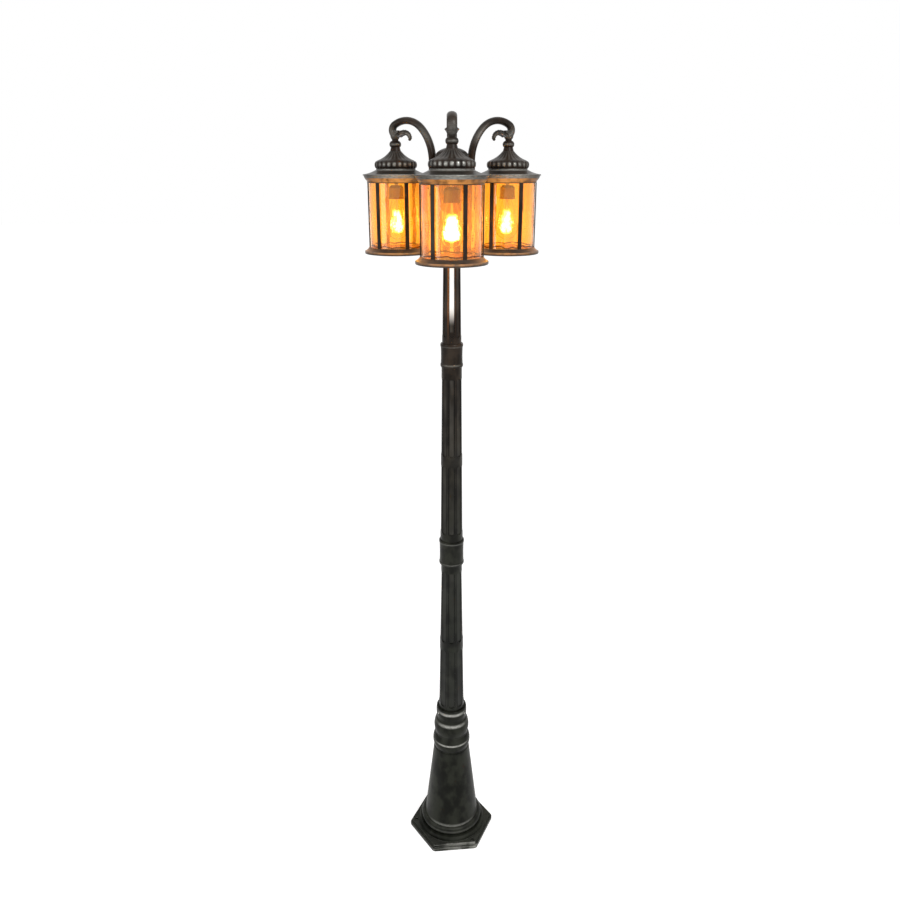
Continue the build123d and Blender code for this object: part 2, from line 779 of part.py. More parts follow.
with BuildPart() as roof:
    with BuildSketch(Plane.XZ):
        with BuildLine():
            Line((reach, roof_top_z), (reach + finial_foot_radius, roof_top_z))
            SagittaArc(
                (reach + finial_foot_radius, roof_top_z), (reach + bell_foot_radius, bell_foot_z), bell_sag
            )
            Polyline(
                (reach + bell_foot_radius, bell_foot_z),
                (reach + groove_radius, gadroon_top_z),
                (reach + groove_radius, skirt_top_z),
            )
            SagittaArc((reach + groove_radius, skirt_top_z), (reach + rim_radius, rim_top_z), skirt_sag)
            Line((reach + rim_radius, rim_top_z), (reach + rim_radius, rim_z))
            SagittaArc((reach + rim_radius, rim_z), (reach + collar_radius, cove_z), cove_sag)
            Polyline(
                (reach + collar_radius, cove_z),
                (reach + collar_radius, roof_z),
                (reach + glass_seat, roof_z),
                (reach + glass_seat, glass_top_z),
                (reach + glass_seat - seat_width, glass_top_z),
                (reach + groove_radius - roof_wall, skirt_top_z),
                (reach + groove_radius - roof_wall, gadroon_top_z - roof_wall),
                (reach + bell_foot_radius - roof_wall, bell_foot_z - roof_wall),
                (reach + finial_foot_radius, roof_top_z - crown_wall),
                (reach, roof_top_z - crown_wall),
                (reach, roof_top_z),
            )
        make_face()
    revolve(axis=lantern_axis)
    with BuildSketch(Plane.XY.offset(groove_top_z)):
        with Locations((reach, 0)):
            with PolarLocations(groove_radius - gadroon_inset, gadroon_count):
                Circle(gadroon_radius)
            Circle(groove_radius - roof_wall / 2, mode=Mode.SUBTRACT)
    extrude(amount=gadroon_height)
    with BuildSketch(Plane.XY.offset(roof_top_z)):
        with Locations((reach, 0)):
            Circle(hanger_seat)
    extrude(amount=-crown_wall, mode=Mode.SUBTRACT)
save_heads(roof.part, "roof")

with BuildPart() as roof_nut:
    with BuildSketch(Plane.XY.offset(roof_top_z - crown_wall)):
        with Locations((reach, 0)):
            RegularPolygon(radius=nut_radius, side_count=6)
            Circle(hanger_seat, mode=Mode.SUBTRACT)
    extrude(amount=-nut_height)
save_heads(roof_nut.part, "roof_nut")

with BuildPart() as glass:
    with BuildSketch(Plane.XY.offset(glass_z)):
        with Locations((reach, 0)):
            Circle(glass_radius)
            Circle(glass_radius - glass_wall, mode=Mode.SUBTRACT)
    extrude(amount=glass_top_z - glass_z)
save_heads(glass.part, "glass")

with BuildPart() as cage:
    with BuildSketch(Plane.XZ):
        Polygon(
            (reach + ring_bore, ring_z),
            (reach + ring_radius - ring_bevel, ring_z),
            (reach + ring_radius, ring_z + ring_bevel),
            (reach + ring_radius, lip_z - ring_bevel),
            (reach + lip_radius, lip_z),
            (reach + lip_radius, ring_top_z),
            (reach + glass_seat, ring_top_z),
            (reach + glass_seat, glass_z),
            (reach + ring_bore, glass_z),
            align=None,
        )
    revolve(axis=lantern_axis)
    bar_circle = glass_seat + slip + bar_thick / 2
    with BuildSketch(Plane.XY.offset(ring_top_z)):
        with Locations((reach, 0)):
            with PolarLocations(bar_circle, cage_count, start_angle=cage_turn):
                Rectangle(bar_thick, bar_width)
    extrude(amount=open_height)
save_heads(cage.part, "cage")

# ---- lampholder and bulb ------------------------------------------------------------------------

with BuildPart() as lampholder:
    with BuildSketch(Plane.XZ):
        Polygon(
            (reach + cap_radius + loose, holder_z),
            (reach + holder_radius + holder_lip, holder_z),
            (reach + holder_radius + holder_lip, holder_z + holder_top),
            (reach + holder_radius, holder_z + holder_top),
            (reach + holder_radius, holder_top_z - holder_top),
            (reach + holder_radius - holder_top, holder_top_z),
            (reach + hanger_seat, holder_top_z),
            (reach + hanger_seat, holder_top_z - holder_top),
            (reach + cap_radius + loose, holder_top_z - holder_top),
            align=None,
        )
    revolve(axis=lantern_axis)
save_heads(lampholder.part, "lampholder")

cap_top_z = cap_z + cap_length
with BuildPart() as bulb_cap:
    with BuildSketch(Plane.XZ):
        Polygon(
            (reach + cap_radius - cap_wall, cap_z),
            (reach + cap_radius, cap_z),
            (reach + cap_radius, cap_top_z - cap_tip_height),
            (reach + cap_tip_radius, cap_top_z),
            (reach, cap_top_z),
            (reach, cap_top_z - cap_wall),
            (reach + cap_tip_radius - cap_wall, cap_top_z - cap_wall),
            (reach + cap_radius - cap_wall, cap_top_z - cap_tip_height - cap_wall),
            align=None,
        )
    revolve(axis=lantern_axis)
save_heads(bulb_cap.part, "bulb_cap")

flare_x = bulb_radius * cos(radians(bulb_flare))
flare_z = bulb_belly_z + bulb_radius * sin(radians(bulb_flare))
flare_top_z = flare_z + (flare_x - bulb_neck_radius) / tan(radians(bulb_flare))
with BuildPart() as bulb_glass:
    with BuildSketch(Plane.XZ):
        with BuildLine():
            Polyline(
                (reach, cap_z),
                (reach + bulb_neck_radius, cap_z),
                (reach + bulb_neck_radius, flare_top_z),
                (reach + flare_x, flare_z),
            )
            CenterArc((reach, bulb_belly_z), bulb_radius, bulb_flare, -90 - bulb_flare)
            Line((reach, bulb_belly_z - bulb_radius), (reach, cap_z))
        make_face()
    revolve(axis=lantern_axis)
    offset(amount=-bulb_wall, openings=bulb_glass.faces().sort_by(Axis.Z)[-1])
save_heads(bulb_glass.part, "bulb_glass")

with BuildPart() as filament:
    with BuildSketch(Plane.XY.offset(stem_z)):
        with Locations((reach, 0)):
            Circle(stem_radius)
    extrude(amount=stem_length + cap_length - cap_wall)
    with BuildSketch(Plane.XY.offset(stem_z)):
        with Locations((reach, 0)):
            Circle(filament_top_circle + filament_radius)
    extrude(amount=2 * filament_radius)
    for i in range(filament_count):
        top_turn = radians((i + i % 2) * 360 / filament_count)
        low_turn = radians((i + 1 - i % 2) * 360 / filament_count)
        top_end = Vector(
            reach + filament_top_circle * cos(top_turn), filament_top_circle * sin(top_turn), stem_z
        )
        low_end = Vector(
            reach + filament_low_circle * cos(low_turn),
            filament_low_circle * sin(low_turn),
            stem_z - filament_height,
        )
        with BuildSketch(Plane(origin=top_end, z_dir=low_end - top_end)):
            Circle(filament_radius)
        extrude(amount=(low_end - top_end).length)
save_heads(filament.part, "filament")
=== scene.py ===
"""Looks of a garden lamp post with three hanging lanterns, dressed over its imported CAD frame.

Metres throughout, in the frame of the CAD model: +Z up along the pole, the front arm along -Y.
"""
import logging
import math
from dataclasses import dataclass
from enum import Enum
from typing import Callable, Optional, Sequence, Union

import bmesh
import bpy
from mathutils import Matrix, Vector, noise


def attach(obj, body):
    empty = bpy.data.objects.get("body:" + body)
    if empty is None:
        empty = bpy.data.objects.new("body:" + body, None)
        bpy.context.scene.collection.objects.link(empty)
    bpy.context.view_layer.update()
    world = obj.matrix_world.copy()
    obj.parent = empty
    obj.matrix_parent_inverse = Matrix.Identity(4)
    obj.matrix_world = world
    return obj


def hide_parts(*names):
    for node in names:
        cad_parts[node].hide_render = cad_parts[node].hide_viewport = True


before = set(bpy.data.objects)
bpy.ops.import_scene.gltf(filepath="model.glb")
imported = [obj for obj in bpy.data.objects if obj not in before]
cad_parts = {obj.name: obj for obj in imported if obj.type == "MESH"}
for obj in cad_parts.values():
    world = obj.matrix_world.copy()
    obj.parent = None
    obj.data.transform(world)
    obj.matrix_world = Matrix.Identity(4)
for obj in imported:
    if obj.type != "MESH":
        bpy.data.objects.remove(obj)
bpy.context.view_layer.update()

LOG = logging.getLogger("lamp_post")
HEAD_REACH = 0.167
"""How far the lanterns' axes stand from the pole's."""
NOSE_BEND = 80.0
"""How far a rounded edge turns each way from its middle, in degrees."""

Colour = tuple[float, float, float]
Socket = bpy.types.NodeSocket
Number = Union[Socket, float]
Paint = Union[Socket, Colour]
Span = tuple[float, float]
"""Where a band is 0 and where it is 1."""
ProfilePoint = tuple[float, float, float]
"""Radius, height, and how much of the lobes' swell shows at that point."""
Marks = tuple[float, float]
# The rub, with any painted highlight, and the glow of a point, from 0 to 1.
"""The rub and the glow of a point, from 0 to 1."""
Marker = Callable[[float, float, float, float], Marks]
"""Gives a point's marks from its radius, height, lobe and direction."""
Wobble = Callable[[float, float, int], float]
"""Gives what is added to a radius from the direction, the height and the profile point's number."""
Station = tuple[float, float, float, float]
"""Distance from the pole's axis, height, thickness and half width."""


class Side(Enum):
    """The three heads, each with its direction from the pole in degrees."""

    FRONT = -90.0
    RIGHT = 30.0
    LEFT = 150.0

    @property
    def label(self) -> str:
        """The head's name, as the CAD nodes spell it."""
        return self.name.lower()

    def place(self, distance: float, across: float, height: float) -> Vector:
        """Turn a point of the head's own plane into the CAD frame.

        Args:
            distance: How far from the pole's axis, along the arm.
            across: How far to the left of the arm.
            height: Height above the ground.

        Returns:
            The point in the CAD frame.
        """
        turn = math.radians(self.value)
        along = Vector((math.cos(turn), math.sin(turn), 0.0))
        sideways = Vector((-math.sin(turn), math.cos(turn), 0.0))
        return along * distance + sideways * across + Vector((0.0, 0.0, height))


# ---- finishes -----------------------------------------------------------------------------------


def scaled(colour: Colour, share: float) -> Colour:
    """A colour with each of its values times a share."""
    return tuple(value * share for value in colour)


@dataclass(frozen=True)
class Grain:
    """A noise in the CAD frame, and the levels between which its patches ease in."""

    scale: float
    """Cells per metre."""
    detail: float = 3.0
    """Octaves."""
    stretch: float = 1.0
    """How much it is drawn out along Z."""
    low: float = 0.0
    high: float = 1.0


class Recipe:
    """The node tree of one material, with short calls to add nodes and join them."""

    def __init__(self, name: str) -> None:
        """Start a material.

        Args:
            name: The material's name.
        """
        self.material = bpy.data.materials.new(name)
        self.material.use_nodes = True
        self.tree = self.material.node_tree
        self.surface = self.tree.nodes["Principled BSDF"]
        self.place = self.add("ShaderNodeTexCoord").outputs["Object"]

    def add(self, kind: str, **settings: object) -> bpy.types.Node:
        """Add a node.

        Args:
            kind: The node's type.
            **settings: Attributes of the node.

        Returns:
            The node.
        """
        node = self.tree.nodes.new(kind)
        for name, value in settings.items():
            setattr(node, name, value)
        return node

    def join(self, source: Socket, target: Socket) -> None:
        """Link two sockets."""
        self.tree.links.new(source, target)

    def feed(self, slot: Socket, value: object) -> None:
        """Link a socket to a slot, or set the slot to a constant.

        Args:
            slot: The socket that takes the value.
            value: A socket or a constant.
        """
        if isinstance(value, Socket):
            self.join(value, slot)
        else:
            slot.default_value = value

    def set(self, **values: object) -> None:
        """Set constants on the surface shader; underscores stand for spaces in the socket names."""
        for name, value in values.items():
            self.surface.inputs[name.replace("_", " ")].default_value = value

    def drive(self, name: str, source: Socket) -> None:
        """Let a socket drive one of the surface shader's inputs."""
        self.join(source, self.surface.inputs[name])

    def sums(self, operation: str, first: Number, second: Number = 0.0, third: Number = 0.0) -> Socket:
        """Work out a number from up to three.

        Args:
            operation: Name of the Math node's operation.
            first: A socket or a number.
            second: A socket or a number.
            third: A socket or a number.

        Returns:
            The socket that holds the result.
        """
        node = self.add("ShaderNodeMath", operation=operation)
        for slot, value in zip(node.inputs, (first, second, third)):
            self.feed(slot, value)
        return node.outputs[0]

    def times(self, first: Number, *others: Number) -> Socket:
        """Multiply numbers, from the first on.

        Args:
            first: A socket or a number.
            *others: What it is multiplied with, one after the other.

        Returns:
            The product.
        """
        for other in others:
            first = self.sums("MULTIPLY", first, other)
        return first

    def larger(self, first: Number, second: Number) -> Socket:
        """The larger of two numbers."""
        return self.sums("MAXIMUM", first, second)

    def apart(self, first: Number, second: Number) -> Socket:
        """How far two numbers lie apart."""
        return self.sums("ABSOLUTE", self.sums("SUBTRACT", first, second))

    def spread(self, source: Socket, share: float, base: Number) -> Socket:
        """A number times a share, plus a base."""
        return self.sums("MULTIPLY_ADD", source, share, base)

    def band(self, source: Socket, low: float, high: float) -> Socket:
        """Ease a number from 0 at low to 1 at high.

        Args:
            source: The socket to read.
            low: Where the result is 0.
            high: Where the result is 1.

        Returns:
            The eased socket.
        """
        node = self.add("ShaderNodeMapRange", interpolation_type="SMOOTHSTEP")
        self.join(source, node.inputs["Value"])
        node.inputs["From Min"].default_value = low
        node.inputs["From Max"].default_value = high
        return node.outputs["Result"]

    def grain(self, grain: Grain) -> Socket:
        """Add a noise.

        Args:
            grain: What the noise is like.

        Returns:
            The noise's value.
        """
        node = self.add("ShaderNodeTexNoise")
        node.inputs["Scale"].default_value = grain.scale
        node.inputs["Detail"].default_value = grain.detail
        source = self.place
        if grain.stretch != 1.0:
            mapping = self.add("ShaderNodeMapping")
            mapping.inputs["Scale"].default_value = (1.0, 1.0, 1.0 / grain.stretch)
            self.join(source, mapping.inputs["Vector"])
            source = mapping.outputs["Vector"]
        self.join(source, node.inputs["Vector"])
        return node.outputs["Fac"]

    def patches(self, grain: Grain) -> Socket:
        """A noise eased into patches between its two levels."""
        return self.band(self.grain(grain), grain.low, grain.high)

    def blend(self, factor: Socket, first: Paint, second: Paint) -> Socket:
        """Mix two colours.

        Args:
            factor: Share of the second colour.
            first: A colour or a socket.
            second: A colour or a socket.

        Returns:
            The mixed colour.
        """
        node = self.add("ShaderNodeMix", data_type="RGBA")
        self.join(factor, node.inputs[0])
        for slot, value in ((node.inputs[6], first), (node.inputs[7], second)):
            self.feed(slot, value if isinstance(value, Socket) else (*value, 1.0))
        return node.outputs[2]

    def axis(self, source: Socket, name: str) -> Socket:
        """Take one coordinate of a vector.

        Args:
            source: The vector's socket.
            name: X, Y or Z.

        Returns:
            The coordinate.
        """
        split = self.add("ShaderNodeSeparateXYZ")
        self.join(source, split.inputs[0])
        return split.outputs[name]

    def height(self) -> Socket:
        """The height above the ground."""
        return self.axis(self.place, "Z")

    def facing(self, name: str, sign: float) -> Socket:
        """How much the surface faces along an axis of the CAD frame."""
        normal = self.add("ShaderNodeNewGeometry").outputs["Normal"]
        return self.times(self.axis(normal, name), sign)

    def edge_on(self) -> Socket:
        """How much the surface turns away from the eye, from 0 to 1."""
        return self.add("ShaderNodeLayerWeight").outputs["Facing"]

    def bump(self, source: Socket, depth: float) -> None:
        """Raise the surface by a noise.

        Args:
            source: The noise.
            depth: How high it raises the surface at most.
        """
        node = self.add("ShaderNodeBump")
        node.inputs["Strength"].default_value = 1.0
        node.inputs["Distance"].default_value = depth
        self.join(source, node.inputs["Height"])
        self.drive("Normal", node.outputs["Normal"])


@dataclass(frozen=True)
class Crest:
    """A ring rubbed bright, in dry-brush wear with a painted highlight: its height, half the rub's width,
    and how strong the rub is.
    """

    height: float
    reach: float = 0.004
    strength: float = 0.6


@dataclass(frozen=True)
class Wear:
    """Where the paint of a piece is rubbed bright, in dry-brush wear and painted highlights."""

    crests: tuple[Crest, ...] = ()
    upward: float = 0.0
    # How much what faces up is rubbed bright, in dry-brush wear and painted highlight.
    """How much the brush touched what faces up."""
    edges: tuple[float, ...] = ()
    # How far in front of the pole's axis the foot's front edges lie, where highlights are painted.
    """How far in front of the pole's axis the trodden edges of the foot lie."""
    turn: float = 5.0
    """Direction of those edges, in degrees from the front."""
    marks: bool = False
    # Whether the piece carries its own rub, painted highlight and glow, point by point.
    """Whether the piece carries its own rub and glow, point by point."""
    strength: float = 0.8
    """Most that the bright metal covers."""


@dataclass(frozen=True)
class AgedBronze:
    """Near-black bronze paint on a casting, browner near the lanterns, rubbed bright on its crests in
    dry-brush wear and painted highlights.
    """

    low: Colour = (0.0050, 0.0054, 0.0040)
    high: Colour = (0.0100, 0.0066, 0.0046)
    # Colour of the rubs: dry-brush silver and painted highlights alike.
    worn_and_highlight: Colour = (0.50, 0.50, 0.46)
    # Colour of the painted highlight of bright metal that a sheen shows.
    glint: Colour = (0.95, 0.95, 0.93)
    amber: Colour = (1.0, 0.40, 0.09)
    """Colour of the lanterns' light on the paint."""
    roughness: float = 0.31
    specular: float = 0.10
    browning: Span = (0.9, 1.9)
    """Heights between which the paint turns brown."""
    low_cloud: float = 3.6
    """How much lighter the clouds in the low paint are."""
    high_cloud: float = 2.6
    """How much lighter the clouds in the high paint are."""
    mottle: Grain = Grain(27.0, 5.0, 1.5, low=0.38, high=0.62)
    haze: Grain = Grain(9.0, 2.0, low=0.5, high=0.75)
    haze_share: float = 0.05
    """How much a wide, faint rub covers."""
    top_faces: Span = (0.35, 0.95)
    highlight_faces: Span = (0.40, 0.98)
    highlight_share: float = 0.90
    highlight_least: float = 0.10
    # How much of a rub is left where the piece faces aside; the rub is a painted highlight, strongest where
    # the piece faces the front.
    """How much of a rub is left where the piece faces aside."""
    # Painted highlights in streaks along the foot's front edges.
    edge_highlight_streaks: Grain = Grain(15.0, 2.0, low=0.34, high=0.50)
    edge_highlight_reach: Span = (0.0024, 0.0008)
    glimmer: Grain = Grain(55.0, low=0.15, high=0.62)
    brush: Grain = Grain(120.0, stretch=0.25, low=0.30, high=0.62)
    brush_share: float = 0.45
    brush_least: float = 0.55
    """How much of a rub is left between the brush's streaks."""
    metal_share: float = 0.85
    rough_grain: Grain = Grain(60.0)
    rough_spread: float = 0.16
    fine_grain: Grain = Grain(420.0, 2.0)
    grain_depth: float = 0.00012

    def undertone_and_painted_light(self, recipe: Recipe, paint: Socket) -> Socket:
        """The paint below the rubs, with any light and shade painted into it."""
        return paint

    def sheen(self, recipe: Recipe) -> Optional[Socket]:
        """Where a painted highlight of bright metal shows."""
        return None

    def clouded(self, recipe: Recipe, height: Socket) -> Socket:
        """Mix the paint's own colour.

        Args:
            recipe: The material.
            height: The height above the ground.

        Returns:
            The colour, mottled, and browner towards the lanterns.
        """
        mottle = recipe.patches(self.mottle)
        low = recipe.blend(mottle, self.low, scaled(self.low, self.low_cloud))
        high = recipe.blend(mottle, self.high, scaled(self.high, self.high_cloud))
        return recipe.blend(recipe.band(height, *self.browning), low, high)

    def rubbed(self, recipe: Recipe, wear: Wear, height: Socket) -> Socket:
        """Rub the crests and what faces up, in dry-brush wear with a painted highlight, most of all in
        front.

        Args:
            recipe: The material.
            wear: Where the piece is rubbed and where highlights are painted.
            height: The height above the ground.

        Returns:
            The rub with its painted highlight, from 0 to 1.
        """
        rub = recipe.times(recipe.patches(self.haze), self.haze_share)
        for crest in wear.crests:
            near = recipe.band(recipe.apart(height, crest.height), crest.reach, 0.0)
            rub = recipe.larger(rub, recipe.times(near, crest.strength))
        if wear.upward:
            upward = recipe.band(recipe.facing("Z", 1.0), *self.top_faces)
            rub = recipe.larger(rub, recipe.times(upward, wear.upward))
        # Painted highlight: the rub is kept mostly where the piece faces the front.
        front = recipe.band(recipe.facing("Y", -1.0), *self.highlight_faces)
        return recipe.times(rub, recipe.spread(front, self.highlight_share, self.highlight_least))

    def painted_edge_highlights(self, recipe: Recipe, wear: Wear, rub: Socket) -> Socket:
        """Add painted highlights in streaks along the foot's front edges.

        Args:
            recipe: The material.
            wear: Where the edges lie.
            rub: The rub so far.

        Returns:
            The rub with the painted highlights along the edges.
        """
        turn = math.radians(wear.turn)
        across = recipe.times(recipe.axis(recipe.place, "X"), math.sin(turn))
        forward = recipe.spread(recipe.axis(recipe.place, "Y"), -math.cos(turn), across)
        edge_highlight_streaks = recipe.patches(self.edge_highlight_streaks)
        for edge in wear.edges:
            near = recipe.band(recipe.apart(forward, edge), *self.edge_highlight_reach)
            rub = recipe.larger(rub, recipe.times(near, edge_highlight_streaks))
        return rub

    def marked(self, recipe: Recipe, rub: Socket) -> Socket:
        """Add the rub that the mesh carries, and let its glow shine.

        Args:
            recipe: The material.
            rub: The rub so far.

        Returns:
            The rub with the mesh's own.
        """
        marks = recipe.add("ShaderNodeAttribute", attribute_name="rub").outputs["Fac"]
        glow = recipe.add("ShaderNodeAttribute", attribute_name="glow").outputs["Fac"]
        recipe.drive("Emission Strength", recipe.times(glow, recipe.patches(self.glimmer)))
        recipe.set(Emission_Color=(*self.amber, 1.0))
        return recipe.larger(rub, marks)

    def mix(self, name: str, wear: Wear = Wear()) -> bpy.types.Material:
        """Mix the paint for one piece.

        Args:
            name: The material's name.
            wear: Where the piece is rubbed and where highlights are painted.

        Returns:
            The material.
        """
        recipe = Recipe(name)
        height = recipe.height()
        paint = self.undertone_and_painted_light(recipe, self.clouded(recipe, height))
        rub = self.rubbed(recipe, wear, height)
        if wear.edges:
            rub = self.painted_edge_highlights(recipe, wear, rub)
        if wear.marks:
            rub = self.marked(recipe, rub)
        brush = recipe.spread(recipe.patches(self.brush), self.brush_share, self.brush_least)
        cover = recipe.times(rub, brush, wear.strength)
        paint = recipe.blend(cover, paint, self.worn_and_highlight)
        # Painted highlight: bright metal where the sheen asks for it.
        bright = self.sheen(recipe)
        if bright:
            paint = recipe.blend(bright, paint, self.glint)
            cover = recipe.larger(cover, bright)
        recipe.drive("Base Color", paint)
        recipe.drive("Metallic", recipe.times(cover, self.metal_share))
        least = self.roughness - self.rough_spread / 2.0
        recipe.drive("Roughness", recipe.spread(recipe.grain(self.rough_grain), self.rough_spread, least))
        recipe.set(Specular_IOR_Level=self.specular)
        recipe.bump(recipe.grain(self.fine_grain), self.grain_depth)
        return recipe.material


@dataclass(frozen=True)
class FlutedBronze(AgedBronze):
    """The pole's paint, with light and shade painted in: flute beds lit near the front, painted shade in
    black lines along their edges, the lanterns' warm light on the ridges and a painted highlight in the
    front flute.
    """

    flutes: int = 8
    share: float = 0.72
    """How much of its part of the pole a flute takes."""
    # Painted light: the flute beds' colours where light falls on them near the front, bed higher up and
    # low_bed lower down.
    bed: Colour = (0.066, 0.062, 0.054)
    low_bed: Colour = (0.017, 0.018, 0.015)
    # Painted shade: colour of the black lines along the flutes' edges.
    edge: Colour = (0.002, 0.002, 0.002)
    # Painted light: colour of the lanterns' warm light on the ridges.
    warm: Colour = (0.26, 0.100, 0.030)
    runs: tuple[Span, ...] = (
        (0.498, 0.7065),
        (0.7335, 0.974),
        (1.098, 1.311),
        (1.338, 1.563),
        (1.687, 1.978),
    )
    """Heights between which the pole is fluted."""
    run_end: float = 0.006
    """How far a flute fades at each end of a run."""
    bed_inset: float = 0.1
    """How far inside its rim a flute's bed starts, as across() tells it."""
    bed_full: float = 0.6
    """Where across a flute its bed is full."""
    bed_faces: Span = (0.45, 0.98)
    """How near the front, as ahead() tells it, the beds catch the light."""
    bed_heights: Span = (0.7, 1.5)
    streaks: Grain = Grain(26.0, 3.0, 4.0, low=0.30, high=0.72)
    edge_reach: Span = (0.34, 0.05)
    # How far from a flute's rim its black line of painted shade starts and is full, as across() tells it.
    """How far from a flute's rim its black edge starts and is full, as across() tells it."""
    ridge_full: float = -0.94
    """Where across a ridge the warm light is full."""
    lit_heights: Span = (1.64, 1.86)
    lit_left: Span = (0.004, -0.009)
    lit_share: float = 0.7
    lit_least: float = 0.10
    lit_faces: Span = (0.2, 0.9)
    """How near the front the ridges take light."""
    # Painted highlight: where the front flute under the lanterns shows bright metal.
    glint_bed: Span = (-0.62, -0.40)
    glint_faces: Span = (0.93, 0.96)
    glint_rise: Span = (1.705, 1.765)
    glint_fall: Span = (1.975, 1.93)

    def across(self, recipe: Recipe) -> Socket:
        """Where a point lies across its flute: 1 along the middle, -1 between two flutes."""
        turn = recipe.sums("ARCTAN2", recipe.axis(recipe.place, "Y"), recipe.axis(recipe.place, "X"))
        return recipe.sums("COSINE", recipe.times(turn, float(self.flutes)))

    def ahead(self, recipe: Recipe) -> Socket:
        """Work out how near a point is to the front of the pole.

        Args:
            recipe: The material.

        Returns:
            1 in front, 0 at the sides and -1 behind.
        """
        away = recipe.axis(recipe.place, "Y")
        side = recipe.axis(recipe.place, "X")
        squares = recipe.sums("ADD", recipe.times(away, away), recipe.times(side, side))
        return recipe.times(recipe.sums("DIVIDE", away, recipe.sums("SQRT", squares)), -1.0)

    def fluted(self, recipe: Recipe) -> Socket:
        """Tell the runs of flutes from the plain bands.

        Args:
            recipe: The material.

        Returns:
            1 within the runs, 0 on the bands.
        """
        height = recipe.height()
        inside = recipe.times(height, 0.0)
        for low, high in self.runs:
            rise = recipe.band(height, low, low + self.run_end)
            fall = recipe.band(height, high, high - self.run_end)
            inside = recipe.larger(inside, recipe.times(rise, fall))
        return inside

    def lit(self, recipe: Recipe) -> Socket:
        """Work out how much of the lanterns' light a ridge has taken.

        Args:
            recipe: The material.

        Returns:
            The share: most on the left, more the higher it is.
        """
        rise = recipe.band(recipe.height(), *self.lit_heights)
        left = recipe.band(recipe.axis(recipe.place, "X"), *self.lit_left)
        left = recipe.spread(left, self.lit_share, self.lit_least)
        return recipe.times(rise, left, recipe.band(self.ahead(recipe), *self.lit_faces))

    def undertone_and_painted_light(self, recipe: Recipe, paint: Socket) -> Socket:
        """Paint light and shade into the pole: the flutes' beds lit near the front, painted shade in black
        lines along their edges and the lanterns' warm light on the ridges.

        Args:
            recipe: The material.
            paint: The paint of the plain bands.

        Returns:
            The paint of the whole pole.
        """
        across = self.across(recipe)
        fluted = self.fluted(recipe)
        rim = math.cos(math.pi * self.share)
        bed = recipe.times(recipe.band(across, rim + self.bed_inset, self.bed_full), fluted)
        streaks = recipe.patches(self.streaks)
        light = recipe.times(recipe.band(self.ahead(recipe), *self.bed_faces), streaks)
        tone = recipe.blend(recipe.band(recipe.height(), *self.bed_heights), self.low_bed, self.bed)
        paint = recipe.blend(recipe.times(bed, light), paint, tone)
        # Painted shade: black lines along the flutes' edges.
        border = recipe.band(recipe.apart(across, rim), *self.edge_reach)
        paint = recipe.blend(recipe.times(border, fluted), paint, self.edge)
        ridge = recipe.times(recipe.band(across, rim, self.ridge_full), self.lit(recipe))
        return recipe.blend(ridge, paint, self.warm)

    def sheen(self, recipe: Recipe) -> Optional[Socket]:
        """Paint a highlight of bright metal into the front flute under the lanterns.

        Args:
            recipe: The material.

        Returns:
            Where the painted highlight shows.
        """
        bed = recipe.band(self.across(recipe), *self.glint_bed)
        front = recipe.band(self.ahead(recipe), *self.glint_faces)
        rise = recipe.band(recipe.height(), *self.glint_rise)
        fall = recipe.band(recipe.height(), *self.glint_fall)
        return recipe.times(recipe.times(bed, front), recipe.times(rise, fall))


@dataclass(frozen=True)
class WaterGlass:
    """Amber glass with soft ripples: deep orange where it faces the eye, pinker where it turns away."""

    amber: Colour = (1.0, 0.62, 0.165)
    pink: Colour = (0.985, 0.65, 0.38)
    pink_turn: Span = (0.26, 0.72)
    streak: Colour = (0.84, 0.40, 0.15)
    streaks: Grain = Grain(34.0, 3.0, 6.0, low=0.54, high=0.70)
    streak_share: float = 0.60
    edge: Colour = (0.30, 0.10, 0.04)
    edge_turn: Span = (0.86, 0.97)
    fold: float = 1.8955
    # Height of the painted shade line, dark and wavy, where the glass's foot sits in the ring.
    """Height of the dark wavy line in the glass's foot."""
    fold_shade: float = 0.3
    fold_reach: Span = (0.0024, 0.0008)
    wave: Grain = Grain(42.0, 1.0, 60.0)
    wave_height: float = 0.016
    glow: Colour = (1.0, 0.36, 0.03)
    glow_strength: float = 0.09
    glow_turn: Span = (0.40, 0.05)
    roughness: float = 0.03
    index: float = 1.47
    transmission: float = 0.965
    ripples: Grain = Grain(48.0, 1.0, 2.2)
    ripple_depth: float = 0.0016

    def mix(self, name: str) -> bpy.types.Material:
        """Mix the glass.

        Args:
            name: The material's name.

        Returns:
            The material.
        """
        recipe = Recipe(name)
        turned = recipe.edge_on()
        colour = recipe.blend(recipe.band(turned, *self.pink_turn), self.amber, self.pink)
        streaks = recipe.times(recipe.patches(self.streaks), self.streak_share)
        colour = recipe.blend(streaks, colour, self.streak)
        wave = recipe.times(recipe.grain(self.wave), self.wave_height)
        # Painted shade: a dark wavy line where the glass's foot sits in the ring.
        line = recipe.apart(recipe.sums("SUBTRACT", recipe.height(), self.fold), wave)
        fold = recipe.band(line, *self.fold_reach)
        colour = recipe.blend(fold, colour, scaled(self.edge, self.fold_shade))
        colour = recipe.blend(recipe.band(turned, *self.edge_turn), colour, self.edge)
        recipe.drive("Base Color", colour)
        recipe.set(Roughness=self.roughness, IOR=self.index, Transmission_Weight=self.transmission)
        recipe.set(Emission_Color=(*self.glow, 1.0))
        shine = recipe.times(recipe.band(turned, *self.glow_turn), self.glow_strength)
        recipe.drive("Emission Strength", shine)
        recipe.bump(recipe.grain(self.ripples), self.ripple_depth)
        return recipe.material


